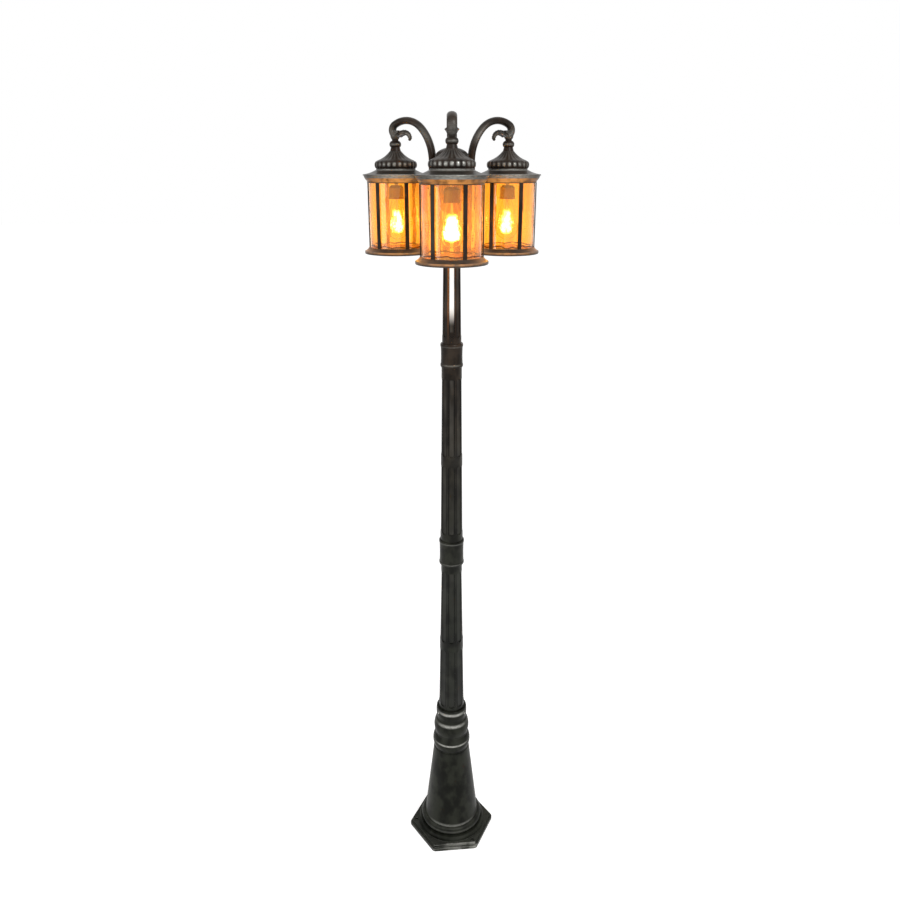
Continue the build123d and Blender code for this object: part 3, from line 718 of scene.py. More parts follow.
@dataclass(frozen=True)
class BulbGlass:
    """Thin clear glass, filled by the glow of the wire behind it."""

    tint: Colour = (1.0, 0.93, 0.80)
    roughness: float = 0.02
    index: float = 1.10
    glow: Colour = (1.0, 0.56, 0.07)
    core: Colour = (0.92, 0.97, 1.0)
    strength: float = 5.0
    """How strong the core shines."""
    least: float = 0.03
    """How strong the rest of the glass shines."""
    inner: float = 0.10
    """How far the glass turns from the eye where the core is still full."""
    outer: float = 0.30
    """How far it turns where the core ends."""
    low: float = 1.930
    low_fade: float = 0.012
    high: float = 1.998
    high_fade: float = 0.016
    cloud: Grain = Grain(85.0, 2.0)
    cloud_share: float = 0.70
    cloud_base: float = -0.33

    def mix(self, name: str) -> bpy.types.Material:
        """Mix the glass.

        Args:
            name: The material's name.

        Returns:
            The material.
        """
        recipe = Recipe(name)
        recipe.set(Base_Color=(*self.tint, 1.0), Roughness=self.roughness)
        recipe.set(IOR=self.index, Transmission_Weight=1.0)
        height = recipe.height()
        rise = recipe.band(height, self.low, self.low + self.low_fade)
        fall = recipe.band(height, self.high, self.high - self.high_fade)
        cloud = recipe.spread(recipe.grain(self.cloud), self.cloud_share, self.cloud_base)
        turned = recipe.sums("ADD", recipe.edge_on(), cloud)
        heart = recipe.times(recipe.band(turned, self.outer, self.inner), recipe.times(rise, fall))
        recipe.drive("Emission Color", recipe.blend(heart, self.glow, self.core))
        recipe.drive("Emission Strength", recipe.spread(heart, self.strength, self.least))
        return recipe.material


@dataclass(frozen=True)
class GlowingWire:
    """A hot filament, cold in the stem above it."""

    cold: Colour = (0.6, 0.4, 0.2)
    glow: Colour = (1.0, 0.74, 0.34)
    hottest: Colour = (1.0, 0.9, 0.62)
    roughness: float = 0.5
    strength: float = 6.0
    top: float = 1.9935
    """Height above which the wire is cold."""
    fade: float = 0.004
    heat: Grain = Grain(90.0, 1.0, low=0.25, high=0.75)

    def mix(self, name: str) -> bpy.types.Material:
        """Mix the wire's finish.

        Args:
            name: The material's name.

        Returns:
            The material.
        """
        recipe = Recipe(name)
        recipe.set(Base_Color=(*self.cold, 1.0), Roughness=self.roughness)
        hot = recipe.band(recipe.height(), self.top, self.top - self.fade)
        recipe.drive("Emission Strength", recipe.times(hot, self.strength))
        recipe.drive("Emission Color", recipe.blend(recipe.patches(self.heat), self.glow, self.hottest))
        return recipe.material


@dataclass(frozen=True)
class Metalware:
    """Plain metal with fine wear: plated steel or brass."""

    colour: Colour
    roughness: float
    tarnish: Colour
    spots: Grain = Grain(75.0, 4.0, low=0.45, high=0.72)
    spot_roughness: float = 0.2
    fine_grain: Grain = Grain(900.0, 2.0)
    grain_depth: float = 0.00004

    def mix(self, name: str) -> bpy.types.Material:
        """Mix the metal.

        Args:
            name: The material's name.

        Returns:
            The material.
        """
        recipe = Recipe(name)
        spots = recipe.patches(self.spots)
        recipe.drive("Base Color", recipe.blend(spots, self.colour, self.tarnish))
        recipe.set(Metallic=1.0)
        recipe.drive("Roughness", recipe.spread(spots, self.spot_roughness, self.roughness))
        recipe.bump(recipe.grain(self.fine_grain), self.grain_depth)
        return recipe.material


@dataclass(frozen=True)
class Porcelain:
    """Glazed ceramic of the lampholders."""

    glaze: Colour = (0.075, 0.024, 0.020)
    pooled: float = 0.8
    """How dark the glaze is where it pooled."""
    pools: Grain = Grain(55.0, low=0.35, high=0.7)
    roughness: float = 0.22
    coat: float = 0.4
    coat_roughness: float = 0.08

    def mix(self, name: str) -> bpy.types.Material:
        """Mix the glaze.

        Args:
            name: The material's name.

        Returns:
            The material.
        """
        recipe = Recipe(name)
        pools = recipe.patches(self.pools)
        recipe.drive("Base Color", recipe.blend(pools, self.glaze, scaled(self.glaze, self.pooled)))
        recipe.set(Roughness=self.roughness, Coat_Weight=self.coat, Coat_Roughness=self.coat_roughness)
        return recipe.material


STEEL = Metalware((0.50, 0.50, 0.48), 0.30, (0.30, 0.28, 0.25))
BRASS = Metalware((0.72, 0.52, 0.24), 0.28, (0.42, 0.28, 0.13))
DULL_BRONZE = AgedBronze(specular=0.06, roughness=0.38)
FRONT_BULB = BulbGlass()
SIDE_BULB = BulbGlass(strength=3.2, inner=0.03, outer=0.19)


def dress(node: str, material: bpy.types.Material) -> None:
    """Give a CAD node a material.

    Args:
        node: The node's name.
        material: Its finish.
    """
    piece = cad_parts[node]
    for slot in piece.material_slots:
        slot.link = "OBJECT"
        slot.material = material
    LOG.info("dressed %s with %s", node, material.name)


# ---- turned and lofted shapes -------------------------------------------------------------------


def show(name: str, data: object) -> bpy.types.Object:
    """Put a mesh, a lamp or a camera into the scene.

    Args:
        name: The object's name.
        data: What the object holds.

    Returns:
        The object.
    """
    piece = bpy.data.objects.new(name, data)
    bpy.context.scene.collection.objects.link(piece)
    return piece


def skin(name: str, build: bmesh.types.BMesh, sharp: float) -> bpy.types.Object:
    """Turn a finished build into a smooth piece.

    Args:
        name: The piece's name.
        build: Its mesh, which is used up.
        sharp: The angle in degrees above which an edge stays sharp.

    Returns:
        The piece.
    """
    bmesh.ops.recalc_face_normals(build, faces=build.faces)
    mesh = bpy.data.meshes.new(name)
    build.to_mesh(mesh)
    build.free()
    mesh.shade_smooth()
    mesh.set_sharp_from_angle(angle=math.radians(sharp))
    return show(name, mesh)


@dataclass
class Lathe:
    """Turns a profile about an upright axis, with lobes round it where the profile asks for them."""

    centre: Vector
    segments: int = 288
    lobes: int = 24
    bluntness: float = 0.75
    """How full a lobe is: the smaller, the fuller."""
    sharp: float = 38.0

    def wave(self, step: int) -> float:
        """How far the lobes stand out at a step round the axis, from 0 in a valley to 1 on a crest."""
        angle = 2.0 * math.pi * step / self.segments
        return abs(math.cos(angle * self.lobes / 2.0)) ** self.bluntness

    def turn(
        self,
        name: str,
        profile: Sequence[ProfilePoint],
        wobble: Optional[Wobble] = None,
        marker: Optional[Marker] = None,
    ) -> bpy.types.Object:
        """Make the turned piece.

        Args:
            name: The piece's name.
            profile: Points of the closed profile.
            wobble: Adds to the radius.
            marker: Gives the rub and glow attributes.

        Returns:
            The piece, in the CAD frame.
        """
        build = bmesh.new()
        rows = []
        marks: list[Marks] = []
        for step in range(self.segments):
            angle = 2.0 * math.pi * step / self.segments
            lobe = self.wave(step)
            row = []
            for number, (radius, height, swell) in enumerate(profile):
                out = radius + swell * lobe
                if wobble:
                    out += wobble(angle, height, number)
                point = self.centre + Vector((out * math.cos(angle), out * math.sin(angle), height))
                row.append(build.verts.new(point))
                marks.append(marker(radius, height, lobe if swell else 1.0, angle) if marker else (0.0, 0.0))
            rows.append(row)
        for step, row in enumerate(rows):
            after = rows[(step + 1) % self.segments]
            for i in range(len(profile)):
                j = (i + 1) % len(profile)
                build.faces.new((row[i], after[i], after[j], row[j]))
        piece = skin(name, build, self.sharp)
        for label, values in zip(("rub", "glow"), zip(*marks)):
            piece.data.attributes.new(label, "FLOAT", "POINT").data.foreach_set("value", values)
        return piece


def arc(start: Span, end: Span, sag: float, steps: int, swell: float = 0.0) -> list[ProfilePoint]:
    """Points along a shallow arc between two profile points, without the last one.

    Args:
        start: Radius and height of the first point.
        end: Radius and height of the last point.
        sag: How far the middle stands to the right of the way from start to end.
        steps: Number of stretches.
        swell: Share of the lobes along the arc.

    Returns:
        Profile points.
    """
    along = Vector(end) - Vector(start)
    side = Vector((along.y, -along.x)).normalized()
    points = []
    for i in range(steps):
        t = i / steps
        spot = Vector(start) + along * t + side * sag * 4.0 * t * (1.0 - t)
        points.append((spot.x, spot.y, swell))
    return points


def nose(
    radius: float, depth: float, top: float, foot: float, steps: int, swell: float = 0.0
) -> list[ProfilePoint]:
    """Points down a rounded edge.

    Args:
        radius: Radius at the middle of the edge.
        depth: How far the edge is rounded.
        top: Height of its top.
        foot: Height of its foot.
        steps: Number of stretches.
        swell: Share of the lobes at its middle.

    Returns:
        Profile points.
    """
    middle = (top + foot) / 2.0
    half = (top - foot) / 2.0
    points = []
    for i in range(steps + 1):
        bend = math.radians(-NOSE_BEND + 2.0 * NOSE_BEND * i / steps)
        out = math.cos(bend)
        points.append((radius - depth + depth * out, middle - half * math.sin(bend), swell * out))
    return points


def finish_piece(
    piece: bpy.types.Object, body: str, material: bpy.types.Material, slot: str, *nodes: str
) -> None:
    """Dress a modelled piece, let it ride on its body and put it in the place of CAD nodes.

    Args:
        piece: The piece.
        body: The CAD body it rides on.
        material: Its finish.
        slot: The record's material slot; not used.
        *nodes: The CAD nodes that it stands for.
    """
    piece.data.materials.clear()
    piece.data.materials.append(material)
    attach(piece, body)
    if nodes:
        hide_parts(*nodes)
    LOG.info("made %s for %s", piece.name, ", ".join(nodes) or "the looks alone")


# ---- sub-assemblies -----------------------------------------------------------------------------


@dataclass
class Foot:
    """The hexagonal foot, its cone and the collar of three rings."""

    # Rubs and painted highlights on the foot's crests and along its front edges.
    flange: Wear = Wear(
        (
            Crest(0.0100, 0.0030, 0.8),
            Crest(0.0195, 0.0024, 0.6),
            Crest(0.0500, 0.0060, 0.16),
            Crest(0.0650, 0.0085, 0.50),
        ),
        edges=(0.1138, 0.1196),
        strength=0.62,
    )
    # Rubs and painted highlights on the collar's three rings.
    collar: Wear = Wear(
        (
            Crest(0.3640, 0.0048, 1.0),
            Crest(0.4340, 0.0070, 1.0),
            Crest(0.4750, 0.0075, 1.0),
        ),
        strength=0.72,
    )

    def dress(self, bronze: AgedBronze) -> None:
        """Give the foot's nodes their finish.

        Args:
            bronze: The paint of its castings.
        """
        dress("base_casting", bronze.mix("foot_paint", self.flange))
        dress("base_collar", bronze.mix("collar_paint", self.collar))
        dress("collar_screws", STEEL.mix("collar_screw_steel"))


@dataclass
class Pole:
    """The three fluted sections with their couplings."""

    # Rubs and painted highlights, strongest in front, on the sections and the couplings' beads.
    tubes: Wear = Wear(strength=0.5)
    rings: Wear = Wear(
        (
            Crest(1.003, 0.003, 0.5),
            Crest(1.0695, 0.003, 0.5),
            Crest(1.600, 0.004, 0.5),
            Crest(1.650, 0.003, 0.3),
        ),
        strength=0.35,
    )

    def dress(self, bronze: AgedBronze, fluted: FlutedBronze) -> None:
        """Give the pole's nodes their finish.

        Args:
            bronze: The paint of the couplings.
            fluted: The paint of the sections.
        """
        paint = fluted.mix("pole_paint", self.tubes)
        for node in ("lower_pole", "middle_pole", "upper_pole"):
            dress(node, paint)
        rings = bronze.mix("coupling_paint", self.rings)
        dress("lower_coupling", rings)
        dress("upper_coupling", rings)
        steel = STEEL.mix("spigot_steel")
        dress("lower_spigot", steel)
        dress("upper_spigot", steel)


@dataclass
class Hub:
    """The hub on the pole's top, with its domed cap."""

    # Rubs and painted highlights on the cap's beads and upward faces.
    cap: Wear = Wear((Crest(2.1195, 0.003), Crest(2.128, 0.003)), upward=0.12, strength=0.4)

    def dress(self, bronze: AgedBronze) -> None:
        """Give the hub's nodes their finish.

        Args:
            bronze: The paint of its castings.
        """
        paint = bronze.mix("hub_paint", self.cap)
        for node in ("hub_body", "hub_cap", "hub_finial"):
            dress(node, paint)
        steel = STEEL.mix("hub_steel")
        for node in ("hub_screws", "hub_bridge", "hub_stud", "arm_nuts"):
            dress(node, steel)


@dataclass
class Leaf:
    """The hooked leaf under an arm's end: an arched blade with a midrib, lobes and a curled tip."""

    side: Side
    spine: tuple[Station, ...] = (
        (0.1580, 2.1745, 0.0110, 0.0120),
        (0.1500, 2.1790, 0.0100, 0.0155),
        (0.1400, 2.1818, 0.0085, 0.0150),
        (0.1310, 2.1806, 0.0080, 0.0125),
        (0.1242, 2.1755, 0.0078, 0.0095),
        (0.1210, 2.1692, 0.0068, 0.0070),
        (0.1216, 2.1640, 0.0052, 0.0050),
        (0.1248, 2.1624, 0.0036, 0.0035),
    )
    steps: int = 7
    strips: int = 14
    nudge: float = 0.05
    """How far to look ahead and back for the spine's direction, in stretches."""
    lobes: float = 4.0
    lobe_depth: float = 0.12
    arch: float = 0.30
    roundness: float = 0.86
    rib: float = 0.0009
    rib_width: float = 0.16
    vein: float = 0.0005
    veins: float = 11.0
    vein_slant: float = 4.0
    sharp: float = 60.0

    def station(self, along: float) -> Station:
        """A station between two of the spine's own.

        Args:
            along: Place along the spine, in stretches.

        Returns:
            The station, on a smooth curve through the spine's.
        """
        first = min(int(along), len(self.spine) - 2)
        t = along - first
        last = len(self.spine) - 1
        before, start, end, after = (
            self.spine[min(max(first + shift, 0), last)] for shift in (-1, 0, 1, 2)
        )
        return tuple(
            0.5 * (2.0 * b + (c - a) * t + (2.0 * a - 5.0 * b + 4.0 * c - d) * t**2
                   + (3.0 * b - a - 3.0 * c + d) * t**3)
            for a, b, c, d in zip(before, start, end, after)
        )

    def ring(self, along: float) -> list[Vector]:
        """The points round the blade at a place along its spine.

        Args:
            along: Place along the spine, in stretches.

        Returns:
            Points in the CAD frame: over the top, then back below.
        """
        distance, height, thick, half = self.station(along)
        ahead = self.station(min(along + self.nudge, len(self.spine) - 1.0))
        behind = self.station(max(along - self.nudge, 0.0))
        run = Vector((ahead[0] - behind[0], ahead[1] - behind[1])).normalized()
        share = along / (len(self.spine) - 1.0)
        beat = math.cos(2.0 * math.pi * share * self.lobes)
        width = half * (1.0 + self.lobe_depth * beat)
        points = []
        for face, order in ((1.0, range(self.strips + 1)), (-1.0, range(self.strips - 1, 0, -1))):
            for i in order:
                s = 2.0 * i / self.strips - 1.0
                crown = math.sqrt(max(1.0 - s * s * self.roundness, 0.0))
                out = face * thick / 2.0 * crown - self.arch * half * s * s
                if face > 0.0:
                    out += self.rib * math.exp(-((s / self.rib_width) ** 2)) * (1.0 - share)
                    phase = 2.0 * math.pi * share * self.veins + self.vein_slant * abs(s)
                    out += self.vein * math.cos(phase) * (1.0 - s * s)
                points.append(self.side.place(distance + run.y * out, width * s, height - run.x * out))
        return points

    def make(self, paint: bpy.types.Material) -> None:
        """Build the leaf and put it in the place of the CAD leaf.

        Args:
            paint: Its finish.
        """
        build = bmesh.new()
        count = self.steps * (len(self.spine) - 1)
        rings = [[build.verts.new(p) for p in self.ring(i / self.steps)] for i in range(count + 1)]
        for one, two in zip(rings, rings[1:]):
            for i in range(len(one)):
                j = (i + 1) % len(one)
                build.faces.new((one[i], one[j], two[j], two[i]))
        build.faces.new(rings[0])
        build.faces.new(rings[-1])
        leaf = skin(f"{self.side.label}_curled_leaf", build, self.sharp)
        finish_piece(leaf, "post", paint, "bronze_paint", f"{self.side.label}_leaf")


@dataclass
class Arm:
    """A gooseneck arm with the leaf at its end."""

    side: Side
    # Rubs and painted highlights down the front of the arm and on the finial's bead.
    crown: Wear = Wear((Crest(2.176, 0.034, 0.30),), upward=0.06, strength=0.55)
    bead: Wear = Wear((Crest(2.1526, 0.004, 0.5),), strength=0.5)

    def dress(self, bronze: AgedBronze) -> None:
        """Give the arm's nodes their finish.

        Args:
            bronze: The paint of its castings.
        """
        name = self.side.label
        paint = bronze.mix(f"{name}_arm_paint", self.crown)
        dress(f"{name}_arm", paint)
        dress(f"{name}_finial", bronze.mix(f"{name}_finial_paint", self.bead))
        Leaf(self.side).make(paint)
        steel = STEEL.mix(f"{name}_hanger_steel")
        for label in ("hanger_tube", "roof_nut"):
            dress(f"{name}_{label}", steel)


@dataclass(frozen=True)
class Touch:
    """How strong a rub with a painted highlight, or a glow, is: its least, what is added to it, and how fast
    that falls off.
    """

    least: float
    more: float
    power: int

    def at(self, share: float) -> float:
        """The strength, from a share of 0 where it is least to 1 where it is greatest."""
        return self.least + self.more * share**self.power


@dataclass(frozen=True)
class Ripple:
    """One set of waves in the glass wall: how close they are, and how far they reach in and out."""

    around: float
    upward: float
    reach: float

    def at(self, angle: float, height: float, lift: float, shift: Vector) -> float:
        """How far the wall stands out.

        Args:
            angle: Direction round the lantern's axis.
            height: Height above the ground.
            lift: Moves the waves up or down.
            shift: Picks another part of the noise.

        Returns:
            What is added to the radius.
        """
        level = height * self.upward + lift
        spot = Vector((math.cos(angle) * self.around, math.sin(angle) * self.around, level))
        return self.reach * noise.noise(spot + shift)


@dataclass
class Lantern:
    """A lantern: gadrooned roof, rippled glass cylinder and the cage that holds it."""

    side: Side
    reach: float = HEAD_REACH
    # The mesh's marks carry rubs, painted highlights and the painted glow of the lit glass.
    paint_wear_and_highlights: Wear = Wear(marks=True, strength=0.85)

    bore: float = 0.0052
    top: float = 2.1366
    crown_radius: float = 0.014
    crown_wall: float = 0.009
    bell_radius: float = 0.0440
    bell_foot: float = 2.1156
    bell_sag: float = 0.0025
    bell_steps: int = 12
    bell_step: float = 0.0022
    bell_drop: float = 0.0008
    rib: float = 0.0008
    rib_end: float = 0.8
    """Share of the ribs that is left at the bell's foot."""
    gadroon_valley: float = 0.0522
    gadroon_swell: float = 0.0026
    gadroon_round: float = 0.0026
    gadroon_top: float = 2.1126
    gadroon_foot: float = 2.0951
    gadroon_steps: int = 12
    groove_radius: float = 0.0520
    groove_round: float = 0.0012
    skirt_top: float = 2.0911
    skirt_sag: float = 0.0016
    skirt_steps: int = 14
    hair: float = 0.0002
    """The smallest step of the profile."""
    rim_radius: float = 0.0860
    rim_top: float = 2.0811
    rim_foot: float = 2.0781
    rim_round: float = 0.0012
    rim_steps: int = 6
    rim_inset: float = 0.001
    rim_lip: float = 0.002
    cove_radius: float = 0.0755
    cove_foot: float = 2.0651
    cove_sag: float = -0.0012
    cove_steps: int = 8
    foot: float = 2.0601
    foot_round: float = 0.0008
    warm_top: float = 2.0712
    warm_foot: float = 2.0618
    """Heights between which the lit glass shines on the cove."""
    warm_above: float = 0.0004
    warm_below: float = 0.0003
    wall: float = 0.004

    glass_seat: float = 0.0722
    seat_width: float = 0.010
    glass_top: float = 2.0661
    glass_outer: float = 0.0716
    glass_inner: float = 0.0694
    glass_foot: float = 1.8901
    glass_slip: float = 0.0004
    glass_rows: int = 60
    glass_segments: int = 240
    glass_sharp: float = 60.0
    broad_ripple: Ripple = Ripple(3.4, 16.0, 0.00042)
    fine_ripple: Ripple = Ripple(8.0, 34.0, 0.00022)
    head_shift: float = 0.13
    """Gives each head its own waves, by its direction."""
    face_shift: float = 7.0
    """Keeps the waves of the two faces of the glass apart."""

    ring_radius: float = 0.08698
    ring_bore: float = 0.0640
    ring_foot: float = 1.8828
    ring_edge: float = 1.8902
    ring_top: float = 1.8991
    ring_shoulder: float = 0.0756
    ring_sag: float = -0.0010
    ring_steps: int = 8
    ring_under: float = 0.0016
    ring_nick: float = 0.0004
    ring_lip: float = 0.0014
    ring_turn: float = 0.0006
    ring_rise: float = 0.0018
    ring_drop: float = 0.0012
    ring_crisp: float = 0.0003
    bars: int = 6
    bar_turn: float = 24.0
    bar_circle: float = 0.0739
    bar_width: float = 0.0105
    bar_thick: float = 0.0030
    bar_sink: float = 0.0012
    bar_round: float = 0.0008
    bar_upright: float = 0.01
    """Rise above which an edge of a bar counts as upright."""

    # Painted highlights: the roof's rubs on the bell's ribs, the gadroons, the skirt, the rim and the cove
    # are strongest in front.
    bell_rub_and_highlight: float = 0.12
    spot_gain: float = 1.5
    spot_middle: float = 0.55
    # Where up a gadroon its painted highlight lies, from 0 at the foot to 1 at the top.
    """Where up a gadroon its bright spot lies, from 0 at the foot to 1 at the top."""
    spot_fall: float = 3.0
    spot_power: int = 4
    spot_highlight: Touch = Touch(0.10, 0.9, 2)
    side_share: float = 0.62
    # How much of the painted highlights on the gadroons the side heads show.
    """How much of the spots on the gadroons the side heads show."""
    skirt_rub_and_highlight: Touch = Touch(0.15, 0.55, 2)
    skirt_reach: float = 0.0012
    rim_rub_and_highlight: Touch = Touch(0.06, 0.55, 4)
    rim_above: float = 0.0004
    rim_width: float = 0.0035
    cove_rub_and_highlight: Touch = Touch(0.05, 0.50, 3)
    cove_glow: Touch = Touch(0.10, 0.62, 3)
    roof_rub: float = 0.03
    slope_rub: float = 0.03
    slope_glow: Touch = Touch(0.01, 0.38, 4)
    slope_above: float = 0.0005
    edge_rub: float = 0.12
    edge_glow: Touch = Touch(0.12, 0.35, 4)
    edge_reach: float = 0.0014
    ring_rub: float = 0.04
    inside: float = 0.002
    """How far inside the groove and below the bell the roof's inner skin starts."""
    seat_edge: float = 0.001

    @property
    def centre(self) -> Vector:
        """A point on the lantern's axis, at ground level."""
        return self.side.place(self.reach, 0.0, 0.0)

    def roof_profile(self) -> list[ProfilePoint]:
        """The roof's outline, down its outside and back up inside.

        Returns:
            Profile points.
        """
        bell = (self.bell_radius, self.bell_foot)
        groove = self.groove_radius - self.groove_round
        skirt = (self.groove_radius + self.groove_round, self.skirt_top)
        points: list[ProfilePoint] = [(self.bore, self.top, 0.0)]
        points += arc((self.crown_radius, self.top), bell, self.bell_sag, self.bell_steps, self.rib)
        points += [
            (self.bell_radius + self.hair, self.bell_foot, self.rib * self.rib_end),
            (self.bell_radius + self.bell_step, self.bell_foot - self.bell_drop, 0.0),
        ]
        points += nose(
            self.gadroon_valley,
            self.gadroon_round,
            self.gadroon_top,
            self.gadroon_foot,
            self.gadroon_steps,
            self.gadroon_swell,
        )
        points += [
            (groove, self.gadroon_foot - self.groove_round / 2.0, 0.0),
            (groove, self.skirt_top + self.groove_round, 0.0),
            (self.groove_radius + self.groove_round / 2.0, self.skirt_top + self.hair, 0.0),
        ]
        brim = (self.rim_radius - self.rim_inset, self.rim_top)
        points += arc(skirt, brim, self.skirt_sag, self.skirt_steps)
        points += nose(self.rim_radius, self.rim_round, self.rim_top, self.rim_foot, self.rim_steps)
        lip = (self.rim_radius - self.rim_lip, self.rim_foot)
        points += arc(lip, (self.cove_radius, self.cove_foot), self.cove_sag, self.cove_steps)
        points += [
            (self.cove_radius, self.cove_foot, 0.0),
            (self.cove_radius, self.warm_foot + self.warm_above, 0.0),
            (self.cove_radius, self.warm_foot - self.warm_below, 0.0),
            (self.cove_radius, self.foot + self.foot_round, 0.0),
            (self.cove_radius - self.foot_round, self.foot, 0.0),
            (self.glass_seat, self.foot, 0.0),
            (self.glass_seat, self.glass_top, 0.0),
            (self.glass_seat - self.seat_width, self.glass_top, 0.0),
            (self.groove_radius - self.wall, self.skirt_top, 0.0),
            (self.groove_radius - self.wall, self.gadroon_top - self.wall, 0.0),
            (self.bell_radius - self.wall, self.bell_foot - self.wall, 0.0),
            (self.crown_radius, self.top - self.crown_wall, 0.0),
            (self.bore, self.top - self.crown_wall, 0.0),
        ]
        return points

    def roof_marks(self, radius: float, height: float, lobe: float, angle: float) -> Marks:
        """Where a dry brush touched the roof and highlights are painted on it, and where the lit glass
        shines on it.

        Args:
            radius: Distance from the lantern's axis.
            height: Height above the ground.
            lobe: How far the lobe stands out there.
            angle: Direction from the lantern's axis.

        Returns:
            The rub, with its painted highlight, and the glow.
        """
        # Painted highlights: the rubs below are strongest where the roof faces the front.
        ahead = max(0.0, -math.sin(angle))
        if radius < self.groove_radius - self.inside and height < self.bell_foot - self.inside:
            return 0.0, 0.0
        if height > self.bell_foot:
            return self.bell_rub_and_highlight * lobe**self.spot_power * ahead, 0.0
        if self.gadroon_foot < height < self.gadroon_top:
            high = (height - self.gadroon_foot) / (self.gadroon_top - self.gadroon_foot)
            near = max(0.0, 1.0 - abs(high - self.spot_middle) * self.spot_fall)
            spot = min(1.0, self.spot_gain * lobe**self.spot_power * near)
            seen = 1.0 if self.side is Side.FRONT else self.side_share
            return spot * self.spot_highlight.at(ahead) * seen, 0.0
        if abs(height - self.skirt_top) < self.skirt_reach and radius > self.groove_radius - self.inside:
            return self.skirt_rub_and_highlight.at(ahead), 0.0
        if height > self.rim_foot - self.rim_above and radius > self.rim_radius - self.rim_width:
            return self.rim_rub_and_highlight.at(ahead), 0.0
        if self.warm_top < height < self.rim_foot and radius > self.cove_radius:
            return self.cove_rub_and_highlight.at(ahead), 0.0
        if self.warm_foot < height <= self.warm_top and radius > self.glass_seat + self.seat_edge:
            return 0.0, self.cove_glow.at(ahead)
        return self.roof_rub, 0.0

    def ring_marks(self, radius: float, height: float, lobe: float, angle: float) -> Marks:
        """Where a dry brush touched the ring, and where the lit glass shines on it.

        Args:
            radius: Distance from the lantern's axis.
            height: Height above the ground.
            lobe: Not used by the ring, which has no lobes.
            angle: Direction from the lantern's axis.

        Returns:
            The rub and the glow.
        """
        if height > self.ring_edge + self.slope_above and radius > self.glass_seat + self.seat_edge:
            return self.slope_rub, self.slope_glow.at(abs(math.cos(angle)))
        if abs(height - self.ring_edge) < self.edge_reach:
            return self.edge_rub, self.edge_glow.at(max(0.0, -math.sin(angle)))
        return self.ring_rub, 0.0

    def ring_profile(self) -> list[ProfilePoint]:
        """The ring's outline: foot, thin rim, slope up to the glass, seat and bore.

        Returns:
            Profile points.
        """
        rim = self.ring_radius
        shoulder = (self.ring_shoulder, self.ring_top)
        points: list[ProfilePoint] = [
            (self.ring_bore, self.ring_foot, 0.0),
            (rim - self.ring_under, self.ring_foot, 0.0),
            (rim - self.ring_nick, self.ring_foot + self.ring_turn, 0.0),
            (rim, self.ring_foot + self.ring_rise, 0.0),
            (rim, self.ring_edge - self.ring_drop, 0.0),
            (rim - self.ring_nick, self.ring_edge - self.ring_crisp, 0.0),
        ]
        points += arc((rim - self.ring_lip, self.ring_edge), shoulder, self.ring_sag, self.ring_steps)
        points += [
            (*shoulder, 0.0),
            (self.glass_seat, self.ring_top, 0.0),
            (self.glass_seat, self.glass_foot, 0.0),
            (self.ring_bore, self.glass_foot, 0.0),
        ]
        return points

    def add_bars(self, ring: bpy.types.Object) -> None:
        """Stand the cage's bars on the ring, as part of its mesh.

        Args:
            ring: The cage's ring.
        """
        build = bmesh.new()
        build.from_mesh(ring.data)
        low = self.ring_top - self.bar_sink
        size = Matrix.Diagonal((self.bar_thick, self.bar_width, self.foot - low, 1.0))
        for i in range(self.bars):
            turn = math.radians(self.side.value + self.bar_turn + 360.0 * i / self.bars)
            spoke = Vector(
                (math.cos(turn) * self.bar_circle, math.sin(turn) * self.bar_circle, (low + self.foot) / 2.0)
            )
            place = Matrix.Translation(self.centre + spoke) @ Matrix.Rotation(turn, 4, "Z") @ size
            bar = bmesh.ops.create_cube(build, size=1.0, matrix=place)
            edges = {edge for vert in bar["verts"] for edge in vert.link_edges}
            upright = [e for e in edges if abs(e.verts[0].co.z - e.verts[1].co.z) > self.bar_upright]
            bmesh.ops.bevel(
                build, geom=upright, offset=self.bar_round, segments=2, profile=0.5, affect="EDGES"
            )
        build.to_mesh(ring.data)
        build.free()

    def ripple(self, angle: float, height: float, number: int) -> float:
        """How the glass wall waves in and out.

        Args:
            angle: Direction round the lantern's axis.
            height: Height above the ground.
            number: The profile point's number.

        Returns:
            What is added to the radius.
        """
        face = 1.0 if number % 2 else -1.0
        shift = Vector((self.side.value * self.head_shift, 0.0, self.face_shift * face))
        broad = self.broad_ripple.at(angle, height, 0.0, shift)
        return broad + self.fine_ripple.at(angle, height, self.side.value, shift)

    def glass_profile(self) -> list[ProfilePoint]:
        """The glass wall's outline, up outside and down inside.

        Returns:
            Profile points.
        """
        rows = self.glass_rows
        low = self.glass_foot + self.glass_slip
        span = self.glass_top - self.glass_slip - self.glass_foot - self.glass_slip
        outside = [(self.glass_outer, low + span * i / rows, 0.0) for i in range(rows + 1)]
        inside = [(self.glass_inner, height, 0.0) for _, height, _ in reversed(outside)]
        return outside + inside

    def make(self, bronze: AgedBronze, glass: WaterGlass) -> None:
        """Build and dress the lantern.

        Args:
            bronze: The paint of its castings.
            glass: The finish of its wall.
        """
        name = self.side.label
        lathe = Lathe(self.centre)
        roof = lathe.turn(f"{name}_gadrooned_roof", self.roof_profile(), marker=self.roof_marks)
        paint = bronze.mix(f"{name}_lantern_paint", self.paint_wear_and_highlights)
        finish_piece(roof, "post", paint, "bronze_paint", f"{name}_roof")
        blower = Lathe(self.centre, segments=self.glass_segments, sharp=self.glass_sharp)
        wall = blower.turn(f"{name}_water_glass", self.glass_profile(), wobble=self.ripple)
        finish_piece(wall, "post", glass.mix(f"{name}_amber_glass"), "amber_glass", f"{name}_glass")
        wall.visible_shadow = False
        cage = lathe.turn(f"{name}_sloped_cage", self.ring_profile(), marker=self.ring_marks)
        self.add_bars(cage)
        finish_piece(cage, "post", paint, "bronze_paint", f"{name}_cage")


